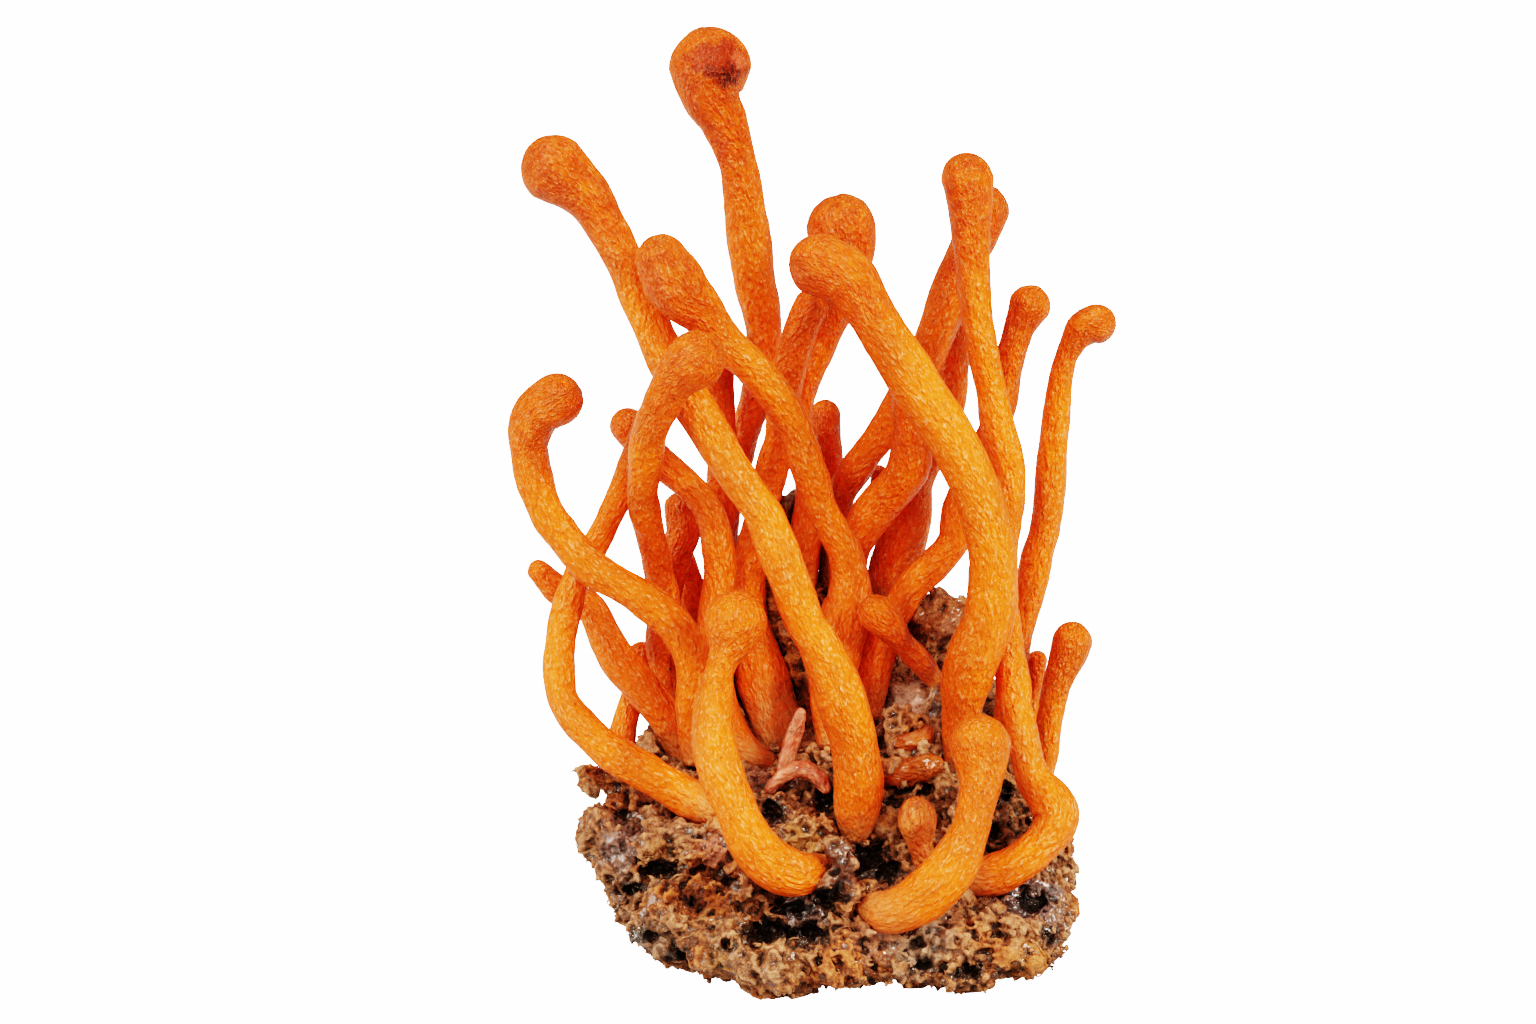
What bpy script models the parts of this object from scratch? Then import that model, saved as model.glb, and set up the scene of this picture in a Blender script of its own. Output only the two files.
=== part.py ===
"""Cordyceps bunch: orange club fungi on a crumbly lump of growing medium, metres, +Z up, front towards -Y."""
import math

import bmesh
import bpy
from mathutils import Vector, noise

MM = 0.001

# Viewpoint that the club routes are read from
ELEVATION = math.radians(15.0)
VIEW_DISTANCE = 500.0
AIM_ACROSS = -4.96
AIM_UP = 33.68
RIGHT = Vector((1.0, 0.0, 0.0))
UP = Vector((0.0, math.sin(ELEVATION), math.cos(ELEVATION)))
FORWARD = Vector((0.0, math.cos(ELEVATION), -math.sin(ELEVATION)))
EYE = RIGHT * AIM_ACROSS + UP * AIM_UP - FORWARD * VIEW_DISTANCE

# Club surface
SIDES = 7
RING_SPACING = 3.9
HEAD_RINGS_AT = (0.0, 0.28, 0.6)
DOME_STEPS = 3
ROUND_GAIN = 1.045

# Growing medium
CLEARANCE = 0.34
MATRIX_TURNS = 56
SIDE_RINGS = 7
TOP_RINGS = 11
VOXEL = 0.75
MATRIX_TRIANGLES = 2300

# Each club from its head's centre to its root: across, up, behind, radius, in millimetres as seen from
# the viewpoint, with "behind" measured along the view from the plane through the middle of the base.
CLUBS = {
    "tallest_club": [
        (-9.57, 69.2, -11.4, 3.24), (-9.45, 67.0, -10.8, 2.5),
        (-8.95, 65.9, -10.5, 2.05), (-8.5, 65.0, -10.2, 1.85),
        (-7.5, 62.0, -9.3, 1.55), (-6.89, 58.0, -7.9, 1.7),
        (-6.46, 55.0, -6.8, 1.8), (-6.02, 52.0, -5.5, 1.6),
        (-5.27, 48.5, -3.8, 1.47), (-5.4, 46.0, -2.5, 1.4), (-5.9, 43.0, -0.8, 1.3), (-6.4, 41.2, 0.3, 1.15),
        (-7.25, 38.0, 2.3, 1.1), (-8.1, 35.5, 3.8, 1.1), (-8.6, 33.0, 4.7, 1.1), (-8.7, 30.0, 6.1, 1.1),
        (-8.2, 27.2, 7.3, 1.05),
    ],
    "far_left_club": [
        (-22.0, 61.1, -12.6, 2.75), (-19.6, 59.1, -12.5, 2.05),
        (-18.2, 56.9, -12.4, 1.63), (-16.8, 54.4, -12.3, 1.55),
        (-14.85, 50.0, -12.2, 1.55), (-13.0, 45.8, -12.3, 1.6),
        (-11.1, 42.45, -12.5, 1.65), (-8.5, 38.2, -12.7, 1.55),
        (-6.95, 35.7, -12.8, 1.5), (-5.2, 33.3, -12.8, 1.5),
        (-3.65, 29.3, -12.6, 1.55), (-2.05, 25.0, -12.2, 1.52),
        (-0.8, 23.0, -12.0, 1.6), (0.75, 19.0, -11.4, 2.0),
        (1.95, 15.0, -10.5, 1.87), (2.27, 12.0, -9.7, 1.97),
        (2.1, 9.5, -8.8, 1.75), (1.9, 7.6, -8.0, 1.1),
    ],
    "leaning_club": [
        (-13.5, 53.9, -17.2, 2.0), (-12.6, 52.2, -16.6, 2.4),
        (-11.6, 50.9, -16.0, 2.2), (-10.2, 49.6, -15.2, 1.75),
        (-8.0, 46.9, -13.4, 1.42), (-5.75, 44.8, -11.8, 1.43),
        (-3.2, 41.1, -9.5, 1.4), (-1.4, 36.3, -7.2, 1.35),
        (-0.65, 34.0, -6.2, 1.28), (1.35, 30.0, -4.9, 1.35), (1.6, 27.0, -4.2, 1.8), (1.3, 25.5, -4.0, 2.0),
        (0.4, 21.5, -4.0, 1.95), (-0.05, 18.6, -4.0, 1.65), (-0.1, 16.6, -4.0, 1.2), (0.0, 14.8, -4.0, 0.9),
    ],
    "crook_club": [
        (-10.75, 45.85, -18.8, 2.3), (-11.7, 44.95, -17.8, 1.95),
        (-12.6, 43.9, -16.7, 1.65), (-13.55, 42.1, -15.4, 1.47),
        (-14.4, 40.0, -13.3, 1.4), (-15.0, 36.0, -9.1, 1.25),
        (-14.85, 34.0, -7.0, 1.25), (-13.95, 30.0, -3.0, 1.2),
        (-13.2, 26.0, -0.2, 1.3), (-13.5, 23.4, 1.0, 1.25), (-13.2, 21.0, 1.8, 1.2), (-12.5, 17.0, 2.4, 1.1),
        (-12.0, 14.6, 2.6, 1.0),
    ],
    "hooked_club": [
        (-21.95, 42.65, -9.8, 2.17), (-23.4, 41.6, -9.3, 2.0),
        (-24.1, 39.8, -8.8, 1.7), (-24.05, 38.0, -8.5, 1.53),
        (-22.9, 34.0, -8.0, 1.45), (-21.4, 31.8, -7.6, 1.42),
        (-19.3, 29.5, -7.3, 1.45), (-16.5, 27.7, -7.0, 1.45),
        (-13.9, 26.0, -6.5, 1.5), (-11.85, 23.7, -5.8, 1.5),
        (-10.95, 20.9, -5.0, 1.35), (-11.1, 18.0, -4.2, 1.25),
        (-11.0, 16.0, -3.5, 1.15), (-10.7, 13.6, -2.9, 1.05),
    ],
    "crossing_club": [
        (-16.1, 40.6, -3.1, 1.42), (-15.1, 39.2, -3.1, 1.3),
        (-13.1, 37.4, -3.0, 1.25), (-11.7, 36.2, -2.8, 1.25),
        (-10.2, 34.6, -2.6, 1.22), (-9.3, 32.8, -2.3, 1.25),
        (-8.82, 29.0, -1.8, 1.38), (-9.1, 25.0, -1.4, 1.5),
        (-9.3, 22.0, -1.3, 1.5), (-9.1, 19.5, -1.5, 1.4), (-8.3, 17.0, -1.9, 1.3), (-7.0, 14.9, -2.4, 1.3),
        (-5.7, 14.0, -2.7, 1.1), (-4.5, 13.5, -2.4, 0.8),
    ],
    "bowed_club": [
        (-14.2, 41.2, -8.5, 1.35), (-15.0, 39.3, -7.1, 1.3),
        (-15.8, 37.3, -6.0, 1.2), (-16.8, 35.2, -5.0, 1.1),
        (-18.3, 32.0, -4.2, 1.05), (-19.4, 30.0, -3.8, 1.1),
        (-20.4, 28.2, -3.7, 1.15), (-21.5, 24.0, -4.2, 1.22),
        (-21.6, 20.0, -5.1, 1.3), (-20.9, 17.9, -5.7, 1.3),
        (-18.6, 15.3, -6.6, 1.45), (-17.0, 14.15, -7.0, 1.5),
        (-14.0, 12.35, -7.4, 1.47), (-11.5, 10.9, -7.3, 1.6), (-9.4, 9.4, -6.8, 1.2),
    ],
    "low_left_club": [
        (-23.3, 28.95, -0.6, 0.93), (-22.5, 28.1, -0.5, 1.1),
        (-21.6, 27.35, -0.4, 1.2), (-20.3, 26.75, -0.4, 1.25),
        (-19.1, 25.9, -0.5, 1.3), (-17.6, 23.0, -1.0, 1.38),
        (-16.6, 21.4, -1.3, 1.5), (-14.85, 19.4, -1.5, 1.5),
        (-13.3, 17.5, -1.4, 1.45), (-12.4, 15.2, -1.0, 1.1), (-11.9, 13.2, -0.6, 0.85),
    ],
    "low_left_pin": [
        (-15.0, 22.2, 3.9, 1.15), (-15.3, 20.5, 3.4, 1.0), (-15.8, 18.6, 2.8, 1.0), (-16.4, 16.9, 2.2, 1.05),
        (-16.75, 15.0, 1.6, 1.1), (-16.5, 13.0, 1.0, 1.1), (-15.7, 10.6, 0.4, 1.0),
    ],
    "shaded_club": [
        (-11.9, 34.0, 0.5, 1.35), (-11.75, 32.0, 0.9, 1.35),
        (-12.3, 30.4, 1.5, 1.25), (-12.8, 28.0, 2.3, 1.2),
        (-13.0, 25.0, 4.3, 1.1), (-12.8, 21.5, 6.3, 1.1), (-12.1, 17.4, 7.2, 1.0),
    ],
    "shaded_inner_club": [
        (-12.2, 30.5, 4.6, 1.1), (-11.4, 28.5, 5.2, 1.2), (-10.9, 26.0, 6.0, 1.15), (-10.3, 23.5, 6.7, 1.15),
        (-9.8, 18.6, 7.5, 1.0),
    ],
    "rear_left_club": [
        (-8.9, 47.2, -4.0, 1.35), (-8.9, 44.0, -3.0, 1.25),
        (-8.75, 41.0, -2.0, 1.25), (-8.6, 38.0, -1.0, 1.25),
        (-8.5, 34.0, 1.1, 1.35), (-8.8, 30.0, 2.9, 1.3), (-8.7, 26.0, 4.15, 1.25), (-8.5, 22.0, 4.8, 1.15),
    ],
    "rear_centre_club": [
        (-1.5, 50.0, -9.2, 1.42), (-2.3, 48.3, -8.4, 1.35), (-3.3, 45.0, -6.7, 1.3), (-3.8, 41.3, -4.6, 1.3),
        (-4.1, 39.2, -3.4, 1.3), (-4.65, 37.0, -2.0, 1.35), (-5.75, 32.8, -0.2, 1.3), (-6.3, 30.5, 0.5, 1.35),
        (-6.6, 28.0, 1.2, 1.4), (-6.6, 25.5, 1.5, 1.6), (-6.2, 23.0, 1.4, 1.95), (-5.3, 20.0, 0.7, 2.1),
        (-4.3, 17.0, 0.4, 2.05), (-3.8, 14.6, 0.4, 1.7),
    ],
    "round_topped_club": [
        (0.9, 56.4, -8.4, 2.72), (1.0, 54.0, -7.7, 2.5), (0.8, 51.6, -6.6, 1.75), (-0.2, 48.2, -4.4, 1.35),
        (-0.9, 46.8, -3.7, 1.35), (-1.75, 45.0, -2.9, 1.3),
        (-2.5, 43.0, -2.0, 1.25), (-2.6, 40.5, -0.8, 1.25),
        (-2.0, 38.0, -0.6, 1.25), (-1.5, 35.5, -1.3, 1.3), (-1.9, 32.0, -0.6, 1.3), (-2.2, 27.6, 0.8, 1.2),
    ],
    "rear_stub_club": [
        (-0.4, 41.45, 3.2, 1.25), (-0.35, 39.0, 3.4, 1.25), (0.2, 35.0, 4.7, 1.2), (0.7, 32.0, 6.1, 1.2),
        (1.2, 27.0, 7.2, 1.2),
    ],
    "rear_pin": [
        (3.95, 36.9, 3.4, 0.55), (3.6, 35.5, 3.7, 0.5), (3.0, 33.0, 4.2, 0.5), (2.5, 29.6, 5.0, 0.5),
        (2.3, 27.0, 5.4, 0.5),
    ],
    "rear_bent_club": [
        (6.6, 43.0, -6.4, 1.5), (6.6, 40.0, -5.4, 1.55), (6.5, 38.0, -4.4, 1.65), (5.8, 36.3, -3.3, 1.7),
        (4.15, 34.6, -2.0, 1.65), (2.7, 32.6, -1.1, 1.65), (1.5, 30.5, -0.4, 1.6), (1.3, 27.0, 0.6, 1.4),
        (1.1, 24.0, 1.1, 1.3),
    ],
    "centre_short_club": [
        (3.6, 25.6, -7.4, 1.45), (4.45, 24.85, -6.8, 1.35), (5.5, 23.45, -5.4, 1.0), (6.45, 22.5, -4.2, 0.92),
        (7.5, 21.4, -2.8, 0.92), (8.5, 20.0, -1.2, 0.75),
    ],
    "thick_diagonal_club": [
        (-0.8, 53.5, -14.5, 2.45), (1.45, 52.3, -14.4, 2.3),
        (2.8, 50.4, -14.3, 1.95), (3.85, 48.7, -14.2, 1.85),
        (5.5, 46.05, -14.0, 1.95), (7.8, 42.45, -13.8, 1.98),
        (9.75, 39.4, -13.5, 1.95), (11.2, 36.6, -13.1, 1.9),
        (12.2, 34.0, -12.6, 1.92), (12.8, 31.6, -12.1, 1.9),
        (13.07, 29.0, -11.5, 1.97), (12.6, 25.0, -10.4, 2.03),
        (11.1, 21.0, -8.7, 2.1), (10.6, 18.0, -7.2, 1.65), (10.4, 15.5, -5.6, 1.45), (10.4, 13.0, -4.2, 1.2),
    ],
    "long_right_club": [
        (10.92, 60.3, -11.2, 2.12), (11.15, 58.0, -10.8, 1.8),
        (11.35, 54.0, -10.2, 1.43), (11.5, 52.0, -9.9, 1.32),
        (12.0, 48.0, -9.3, 1.22), (12.7, 44.0, -8.7, 1.18), (13.1, 42.0, -8.4, 1.28), (13.6, 40.0, -8.1, 1.4),
        (14.3, 36.0, -7.6, 1.35), (13.9, 32.0, -7.2, 1.35),
        (13.6, 28.0, -6.6, 1.35), (13.95, 24.0, -6.1, 1.35),
        (14.65, 20.0, -6.7, 1.38), (15.4, 16.0, -8.0, 1.25),
        (16.2, 12.6, -8.9, 1.3), (17.6, 10.6, -9.5, 1.75),
        (18.1, 9.0, -10.0, 1.85), (17.05, 7.3, -10.6, 1.55),
        (15.05, 5.6, -11.0, 1.55), (13.1, 4.65, -10.6, 1.65),
        (11.0, 4.1, -9.8, 1.4),
    ],
    "rear_right_club": [
        (12.15, 57.75, -5.6, 2.2), (11.4, 55.2, -5.2, 1.75),
        (10.3, 53.0, -4.8, 1.6), (8.45, 48.0, -3.6, 1.55),
        (7.4, 45.5, -2.9, 1.5), (5.8, 42.6, -1.9, 1.4), (4.1, 40.0, -0.9, 1.28), (1.95, 37.0, 0.4, 1.3),
        (0.7, 34.5, 1.6, 1.25), (0.3, 31.0, 3.2, 1.2), (0.2, 27.4, 3.9, 1.2),
    ],
    "hidden_right_club": [
        (10.4, 51.0, -0.6, 1.3), (9.8, 48.0, -0.3, 1.3), (9.8, 44.0, 0.3, 1.3), (9.2, 41.0, 1.0, 1.3),
        (8.2, 38.5, 1.6, 1.35), (6.9, 36.0, 2.2, 1.4), (6.5, 33.0, 2.8, 1.6), (5.7, 31.0, 3.2, 2.0),
        (4.9, 28.6, 3.5, 2.0), (4.4, 24.6, 3.8, 1.5),
    ],
    "right_crossing_club": [
        (16.0, 50.15, -6.6, 1.75), (15.0, 48.0, -6.0, 1.2),
        (14.05, 44.0, -4.8, 1.15), (13.8, 42.0, -4.2, 1.15),
        (12.9, 40.0, -3.6, 1.15), (10.9, 35.5, -2.3, 1.2), (10.1, 33.5, -1.8, 1.25), (9.9, 31.3, -1.5, 1.3),
        (8.45, 29.5, -1.4, 1.3), (6.9, 28.1, -1.4, 1.3), (5.7, 26.5, -1.4, 1.3), (4.6, 24.3, -1.3, 1.4),
        (3.7, 22.0, -1.2, 1.5), (3.2, 19.5, -1.2, 1.4), (3.0, 17.0, -1.2, 1.1),
    ],
    "far_right_club": [
        (21.3, 48.75, -7.3, 1.6), (20.3, 48.3, -7.2, 1.45),
        (19.35, 47.0, -6.9, 1.05), (18.6, 45.0, -6.4, 0.98),
        (18.15, 42.0, -5.7, 1.08), (17.8, 38.0, -4.7, 1.2),
        (17.45, 34.0, -3.7, 1.2), (16.6, 30.0, -2.7, 1.28),
        (15.6, 26.0, -1.5, 1.2), (14.7, 22.0, 0.0, 1.15), (14.3, 18.0, 1.6, 1.1), (14.0, 14.8, 2.2, 0.95),
    ],
    "low_right_club": [
        (19.4, 23.4, -3.2, 1.57), (19.0, 22.0, -2.9, 1.5), (18.4, 20.5, -2.6, 1.25), (17.9, 19.0, -2.3, 1.12),
        (17.35, 15.0, -1.6, 1.05), (17.0, 13.0, -1.1, 1.05), (16.2, 9.6, -0.4, 1.0),
    ],
    "low_right_pin": [
        (16.55, 21.8, 1.9, 0.8), (16.5, 20.3, 1.8, 0.55), (16.3, 18.5, 1.8, 0.5), (16.15, 15.5, 1.8, 0.5),
        (15.7, 11.6, 1.9, 0.5),
    ],
    "front_left_club": [
        (-7.55, 25.0, -12.5, 2.4), (-7.9, 23.3, -12.6, 1.9),
        (-8.35, 22.0, -12.8, 1.25), (-8.75, 21.0, -13.0, 1.2),
        (-9.0, 20.0, -13.3, 1.3), (-9.4, 18.0, -14.0, 1.5),
        (-9.4, 16.0, -14.5, 1.67), (-9.05, 14.0, -15.1, 1.8),
        (-8.4, 12.0, -15.7, 1.77), (-7.6, 10.0, -16.0, 1.63),
        (-6.85, 8.3, -16.0, 1.7), (-5.9, 6.75, -15.6, 1.85),
        (-4.6, 5.45, -15.0, 1.95), (-2.95, 4.75, -14.3, 1.85),
        (-1.25, 5.0, -13.3, 1.45), (0.0, 5.5, -12.0, 0.8),
    ],
    "front_right_club": [
        (12.0, 15.0, -14.0, 2.4), (12.1, 13.0, -14.6, 1.9),
        (12.0, 11.5, -15.0, 1.62), (11.7, 10.0, -15.4, 1.45),
        (11.2, 8.0, -16.0, 1.55), (9.95, 5.6, -16.4, 1.9), (8.1, 3.35, -16.4, 2.0), (5.4, 1.85, -15.6, 1.8),
        (3.6, 1.8, -14.6, 1.5), (2.4, 2.1, -13.6, 1.0),
    ],
    "front_stub": [
        (7.0, 9.5, -10.8, 1.45), (7.05, 8.6, -10.7, 1.5), (7.2, 7.4, -10.4, 1.0), (7.5, 6.0, -10.0, 0.85),
        (7.7, 4.4, -9.6, 0.85),
    ],
    "pink_stalk": [
        (-2.35, 17.6, -5.0, 0.42), (-2.7, 16.4, -4.8, 0.5), (-3.1, 15.2, -4.7, 0.55), (-3.5, 13.9, -4.7, 0.6),
        (-3.8, 12.2, -4.4, 0.6),
    ],
    "pink_finger": [
        (-0.35, 11.5, -7.3, 0.4), (-0.9, 12.4, -7.2, 0.62),
        (-1.6, 12.95, -7.1, 0.68), (-2.5, 13.05, -7.1, 0.62),
        (-3.4, 12.75, -7.1, 0.55), (-4.4, 12.0, -6.8, 0.45), (-4.9, 11.2, -6.4, 0.4),
    ],
    "wet_root_lobe": [
        (5.6, 15.1, -6.0, 0.55), (6.6, 15.3, -6.0, 0.68), (7.4, 15.6, -5.8, 0.7), (7.9, 15.9, -4.8, 0.6),
        (8.1, 15.6, -3.6, 0.5),
    ],
    "wet_root_ridge": [
        (8.5, 13.5, -7.4, 0.6), (7.2, 13.2, -7.6, 0.9), (5.8, 12.8, -7.6, 0.95), (4.7, 12.4, -7.1, 0.7),
        (4.5, 11.8, -5.8, 0.6),
    ],
}
PINK_GROWTHS = ("pink_stalk", "pink_finger")

# Growing medium: footprint on the table, anticlockwise from the left of the front, in millimetres
FOOTPRINT = [
    (-14.4, -8.0), (-10.8, -12.6), (-7.2, -15.8), (-3.2, -17.4), (2.4, -17.0), (5.6, -16.0), (8.6, -15.4),
    (10.4, -17.4), (13.6, -15.4), (16.4, -14.6), (17.9, -10.5), (18.2, -5.0), (18.5, 1.0), (17.6, 6.0),
    (15.0, 11.0), (10.0, 15.0), (4.0, 17.0), (-2.0, 17.4), (-8.0, 16.0), (-12.5, 12.0), (-15.0, 6.5),
    (-15.6, 0.5), (-15.2, -4.0),
]

# Height of its top at places between the roots: across, deep, height, in millimetres
TOP_HEIGHTS = [
    (-11.0, -10.0, 5.5), (-6.0, -14.0, 5.0), (-0.2, -14.5, 4.6), (5.0, -14.5, 4.2), (11.0, -13.0, 4.8),
    (15.5, -12.0, 4.4), (-0.2, -10.0, 8.7), (2.7, -12.6, 5.9), (11.0, -8.6, 7.0), (16.0, -7.0, 6.6),
    (-9.8, -4.3, 11.4), (1.9, -5.7, 10.2), (6.5, -7.5, 8.6), (-15.0, -3.0, 10.8), (-5.0, -5.0, 11.6),
    (-2.6, -2.4, 13.2), (0.0, 0.4, 15.6), (-3.6, 2.0, 15.4), (-6.0, 0.2, 14.6), (-10.8, 1.7, 14.4),
    (6.2, -3.4, 13.0), (7.2, -1.4, 15.4), (10.5, -1.2, 15.4), (5.2, 0.6, 17.0), (3.0, 3.7, 17.8),
    (8.4, 4.2, 20.0), (0.6, 6.4, 20.5), (-13.5, 3.5, 14.6), (-16.5, 2.5, 12.0), (15.2, -0.3, 10.6),
    (16.2, 4.0, 11.8), (13.6, 5.0, 15.0), (14.4, 8.0, 14.0), (-5.0, 6.5, 19.5), (-12.0, 9.0, 18.0),
    (-9.0, 9.0, 23.0), (-8.5, 13.0, 24.0), (-3.0, 10.5, 28.0), (1.0, 10.0, 27.0), (4.6, 10.0, 26.0),
    (1.0, 14.0, 25.0), (9.0, 8.5, 25.5), (10.0, 12.0, 20.0), (-13.0, 12.0, 14.0), (6.0, 15.0, 18.0),
    (-4.0, 15.5, 18.0),
]

# Lumps that stand out of it: centre across, deep, height, then the half sizes
LUMPS = [
    (-3.0, 10.2, 30.0, 2.4, 2.6, 4.6), (-2.9, 9.6, 33.6, 1.15, 1.2, 2.0), (9.3, 7.6, 25.2, 1.7, 1.8, 2.6),
    (7.3, 7.4, 23.8, 1.9, 2.0, 2.6), (-18.7, 1.5, 12.5, 1.7, 1.6, 1.2), (-17.0, -1.5, 8.6, 2.6, 3.4, 2.2),
    (-16.2, -4.0, 4.8, 2.0, 2.8, 1.5), (-12.8, -9.6, 4.2, 2.8, 2.6, 2.2), (-8.2, -13.2, 3.4, 3.2, 2.4, 2.4),
    (-2.0, -15.4, 2.6, 4.4, 2.0, 2.0), (5.8, -15.0, 1.7, 4.6, 2.0, 1.2), (10.6, -15.2, 1.6, 1.6, 2.4, 1.4),
    (16.3, -12.8, 1.5, 1.9, 1.8, 1.5), (17.4, -8.8, 2.2, 1.9, 2.6, 1.6), (17.8, -3.0, 5.0, 1.7, 3.0, 1.7),
    (14.6, -11.6, 4.2, 2.6, 2.2, 1.5), (5.6, 0.2, 16.2, 2.9, 1.6, 2.2), (-7.4, 1.6, 15.6, 1.4, 1.3, 1.2),
    (-13.9, 1.6, 14.6, 1.7, 1.6, 1.8), (-5.8, -1.4, 12.8, 2.0, 1.2, 1.2), (-0.6, -1.6, 13.4, 1.0, 1.2, 1.7),
    (3.6, -12.4, 6.0, 1.6, 1.5, 1.3), (15.6, 1.5, 9.8, 2.6, 2.6, 2.2), (17.6, 2.5, 6.4, 1.6, 3.0, 2.2),
    (4.6, -8.6, 8.4, 1.8, 1.6, 1.3), (10.3, -5.4, 11.0, 1.8, 1.6, 1.8), (-10.5, -7.0, 9.0, 2.4, 1.8, 1.6),
]

# Pits and slots in it: centre across, deep, height, then the half sizes
PITS = [
    (-4.8, -16.4, 4.2, 1.9, 2.2, 0.62), (-1.2, -17.3, 4.9, 1.3, 1.5, 0.55), (-2.9, -16.2, 6.4, 1.1, 1.6, 0.5),
    (5.6, 1.8, 20.8, 1.4, 2.4, 1.5), (4.4, -2.0, 15.0, 0.8, 1.8, 1.1), (3.9, -9.6, 8.4, 1.9, 1.6, 1.1),
    (-12.8, -8.6, 9.4, 1.0, 2.2, 2.0), (-16.6, -4.6, 7.0, 1.8, 1.5, 0.7), (15.6, -9.6, 6.4, 2.2, 2.2, 1.2),
    (17.6, -5.8, 3.4, 1.6, 1.7, 0.9), (-3.0, 3.0, 19.2, 1.1, 2.0, 2.3), (-1.4, -0.6, 15.3, 0.9, 1.6, 1.1),
    (8.6, -5.8, 11.6, 1.2, 1.8, 1.0), (9.6, -11.9, 2.5, 2.4, 1.6, 0.7), (-9.8, -14.4, 3.0, 1.5, 1.5, 0.7),
    (1.6, -16.6, 2.2, 1.6, 1.2, 0.55), (-12.0, 13.6, 6.0, 2.2, 1.8, 1.2), (2.5, 18.6, 7.6, 2.6, 2.0, 1.3),
    (12.6, 14.0, 6.6, 2.0, 2.0, 1.1), (-4.2, 16.6, 12.4, 1.8, 2.0, 1.5), (17.8, 5.6, 2.4, 1.6, 1.7, 0.8),
]


def clear_scene():
    for thing in list(bpy.data.objects):
        bpy.data.objects.remove(thing, do_unlink=True)


def material(name, colour, roughness):
    made = bpy.data.materials.new(name)
    made.use_nodes = True
    shader = made.node_tree.nodes["Principled BSDF"]
    shader.inputs["Base Color"].default_value = (*colour, 1.0)
    shader.inputs["Roughness"].default_value = roughness
    return made


def seen(across, up, behind):
    """Place, in millimetres, of a point read from the viewpoint."""
    on_plane = RIGHT * across + UP * up
    return EYE + (on_plane - EYE) * (1.0 + behind / VIEW_DISTANCE)


def between(values, position):
    """Catmull-Rom curve through the values, at a position counted in values."""
    last = len(values) - 1
    index = min(int(position), last - 1)
    t = position - index
    before = values[max(index - 1, 0)]
    start = values[index]
    end = values[index + 1]
    after = values[min(index + 2, last)]
    bend = (before * 2.0 - start * 5.0 + end * 4.0 - after) * t * t
    twist = (start * 3.0 - before - end * 3.0 + after) * t * t * t
    return (start * 2.0 + (end - before) * t + bend + twist) * 0.5


def stations(points):
    """Curve positions of a club's rings: close together in the head, evenly spaced along the stalk."""
    places = [seen(*point[:3]) for point in points]
    radii = [point[3] for point in points]
    steps = 24
    fine = [i / steps for i in range((len(points) - 1) * steps + 1)]
    walked = [0.0]
    for a, b in zip(fine, fine[1:]):
        walked.append(walked[-1] + (between(places, b) - between(places, a)).length)
    head = radii[0] * 2.2
    stalk_count = max(2, round((walked[-1] - head) / RING_SPACING))
    targets = [head * share / HEAD_RINGS_AT[-1] * 0.7 for share in HEAD_RINGS_AT]
    start = targets[-1]
    targets += [start + (walked[-1] - start) * (i + 1) / stalk_count for i in range(stalk_count)]
    found = []
    for target in targets:
        nearest = min(range(len(fine)), key=lambda i: abs(walked[i] - target))
        found.append(fine[nearest])
    return places, radii, found


def club_mesh(name, points, grow=0.0):
    """Closed tube along a club's route with a round head and a flat root."""
    places, radii, found = stations(points)
    centres = [between(places, at) for at in found]
    sizes = [between(radii, at) * ROUND_GAIN + grow for at in found]
    count = len(centres)
    ways = []
    for i in range(count):
        way = centres[min(i + 1, count - 1)] - centres[max(i - 1, 0)]
        ways.append(way.normalized())
    if grow > 0.0:
        centres[-1] = centres[-1] + ways[-1] * grow
    side = ways[0].orthogonal().normalized()
    mesh = bmesh.new()
    rings = []
    for step in range(DOME_STEPS - 1, 0, -1):
        angle = math.radians(90.0) * step / DOME_STEPS
        centre = centres[0] - ways[0] * sizes[0] * math.sin(angle)
        rings.append(ring(mesh, centre, ways[0], side, sizes[0] * math.cos(angle)))
    for centre, way, size in zip(centres, ways, sizes):
        side = (side - way * side.dot(way)).normalized()
        rings.append(ring(mesh, centre, way, side, size))
    pole = mesh.verts.new((centres[0] - ways[0] * sizes[0]) * MM)
    for i in range(SIDES):
        j = (i + 1) % SIDES
        mesh.faces.new((pole, rings[0][j], rings[0][i]))
        for upper, lower in zip(rings, rings[1:]):
            mesh.faces.new((upper[i], upper[j], lower[j], lower[i]))
    mesh.faces.new(rings[-1])
    bmesh.ops.recalc_face_normals(mesh, faces=mesh.faces)
    data = bpy.data.meshes.new(name)
    mesh.to_mesh(data)
    mesh.free()
    return data


def ring(mesh, centre, way, side, size):
    """One ring of a tube's corners, in metres."""
    other = way.cross(side)
    corners = []
    for i in range(SIDES):
        turn = 2.0 * math.pi * i / SIDES
        out = side * math.cos(turn) + other * math.sin(turn)
        corners.append(mesh.verts.new((centre + out * size) * MM))
    return corners


def place(name, data, surface=None):
    made = bpy.data.objects.new(name, data)
    bpy.context.scene.collection.objects.link(made)
    if surface is not None:
        data.materials.append(surface)
    return made


def hide_cutter(cutter):
    cutter.hide_render = True
    cutter.display_type = "WIRE"


def apply_modifiers(thing):
    """Bake the modifiers into the object's mesh."""
    graph = bpy.context.evaluated_depsgraph_get()
    baked = bpy.data.meshes.new_from_object(thing.evaluated_get(graph))
    old = thing.data
    thing.modifiers.clear()
    thing.data = baked
    bpy.data.meshes.remove(old)


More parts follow.
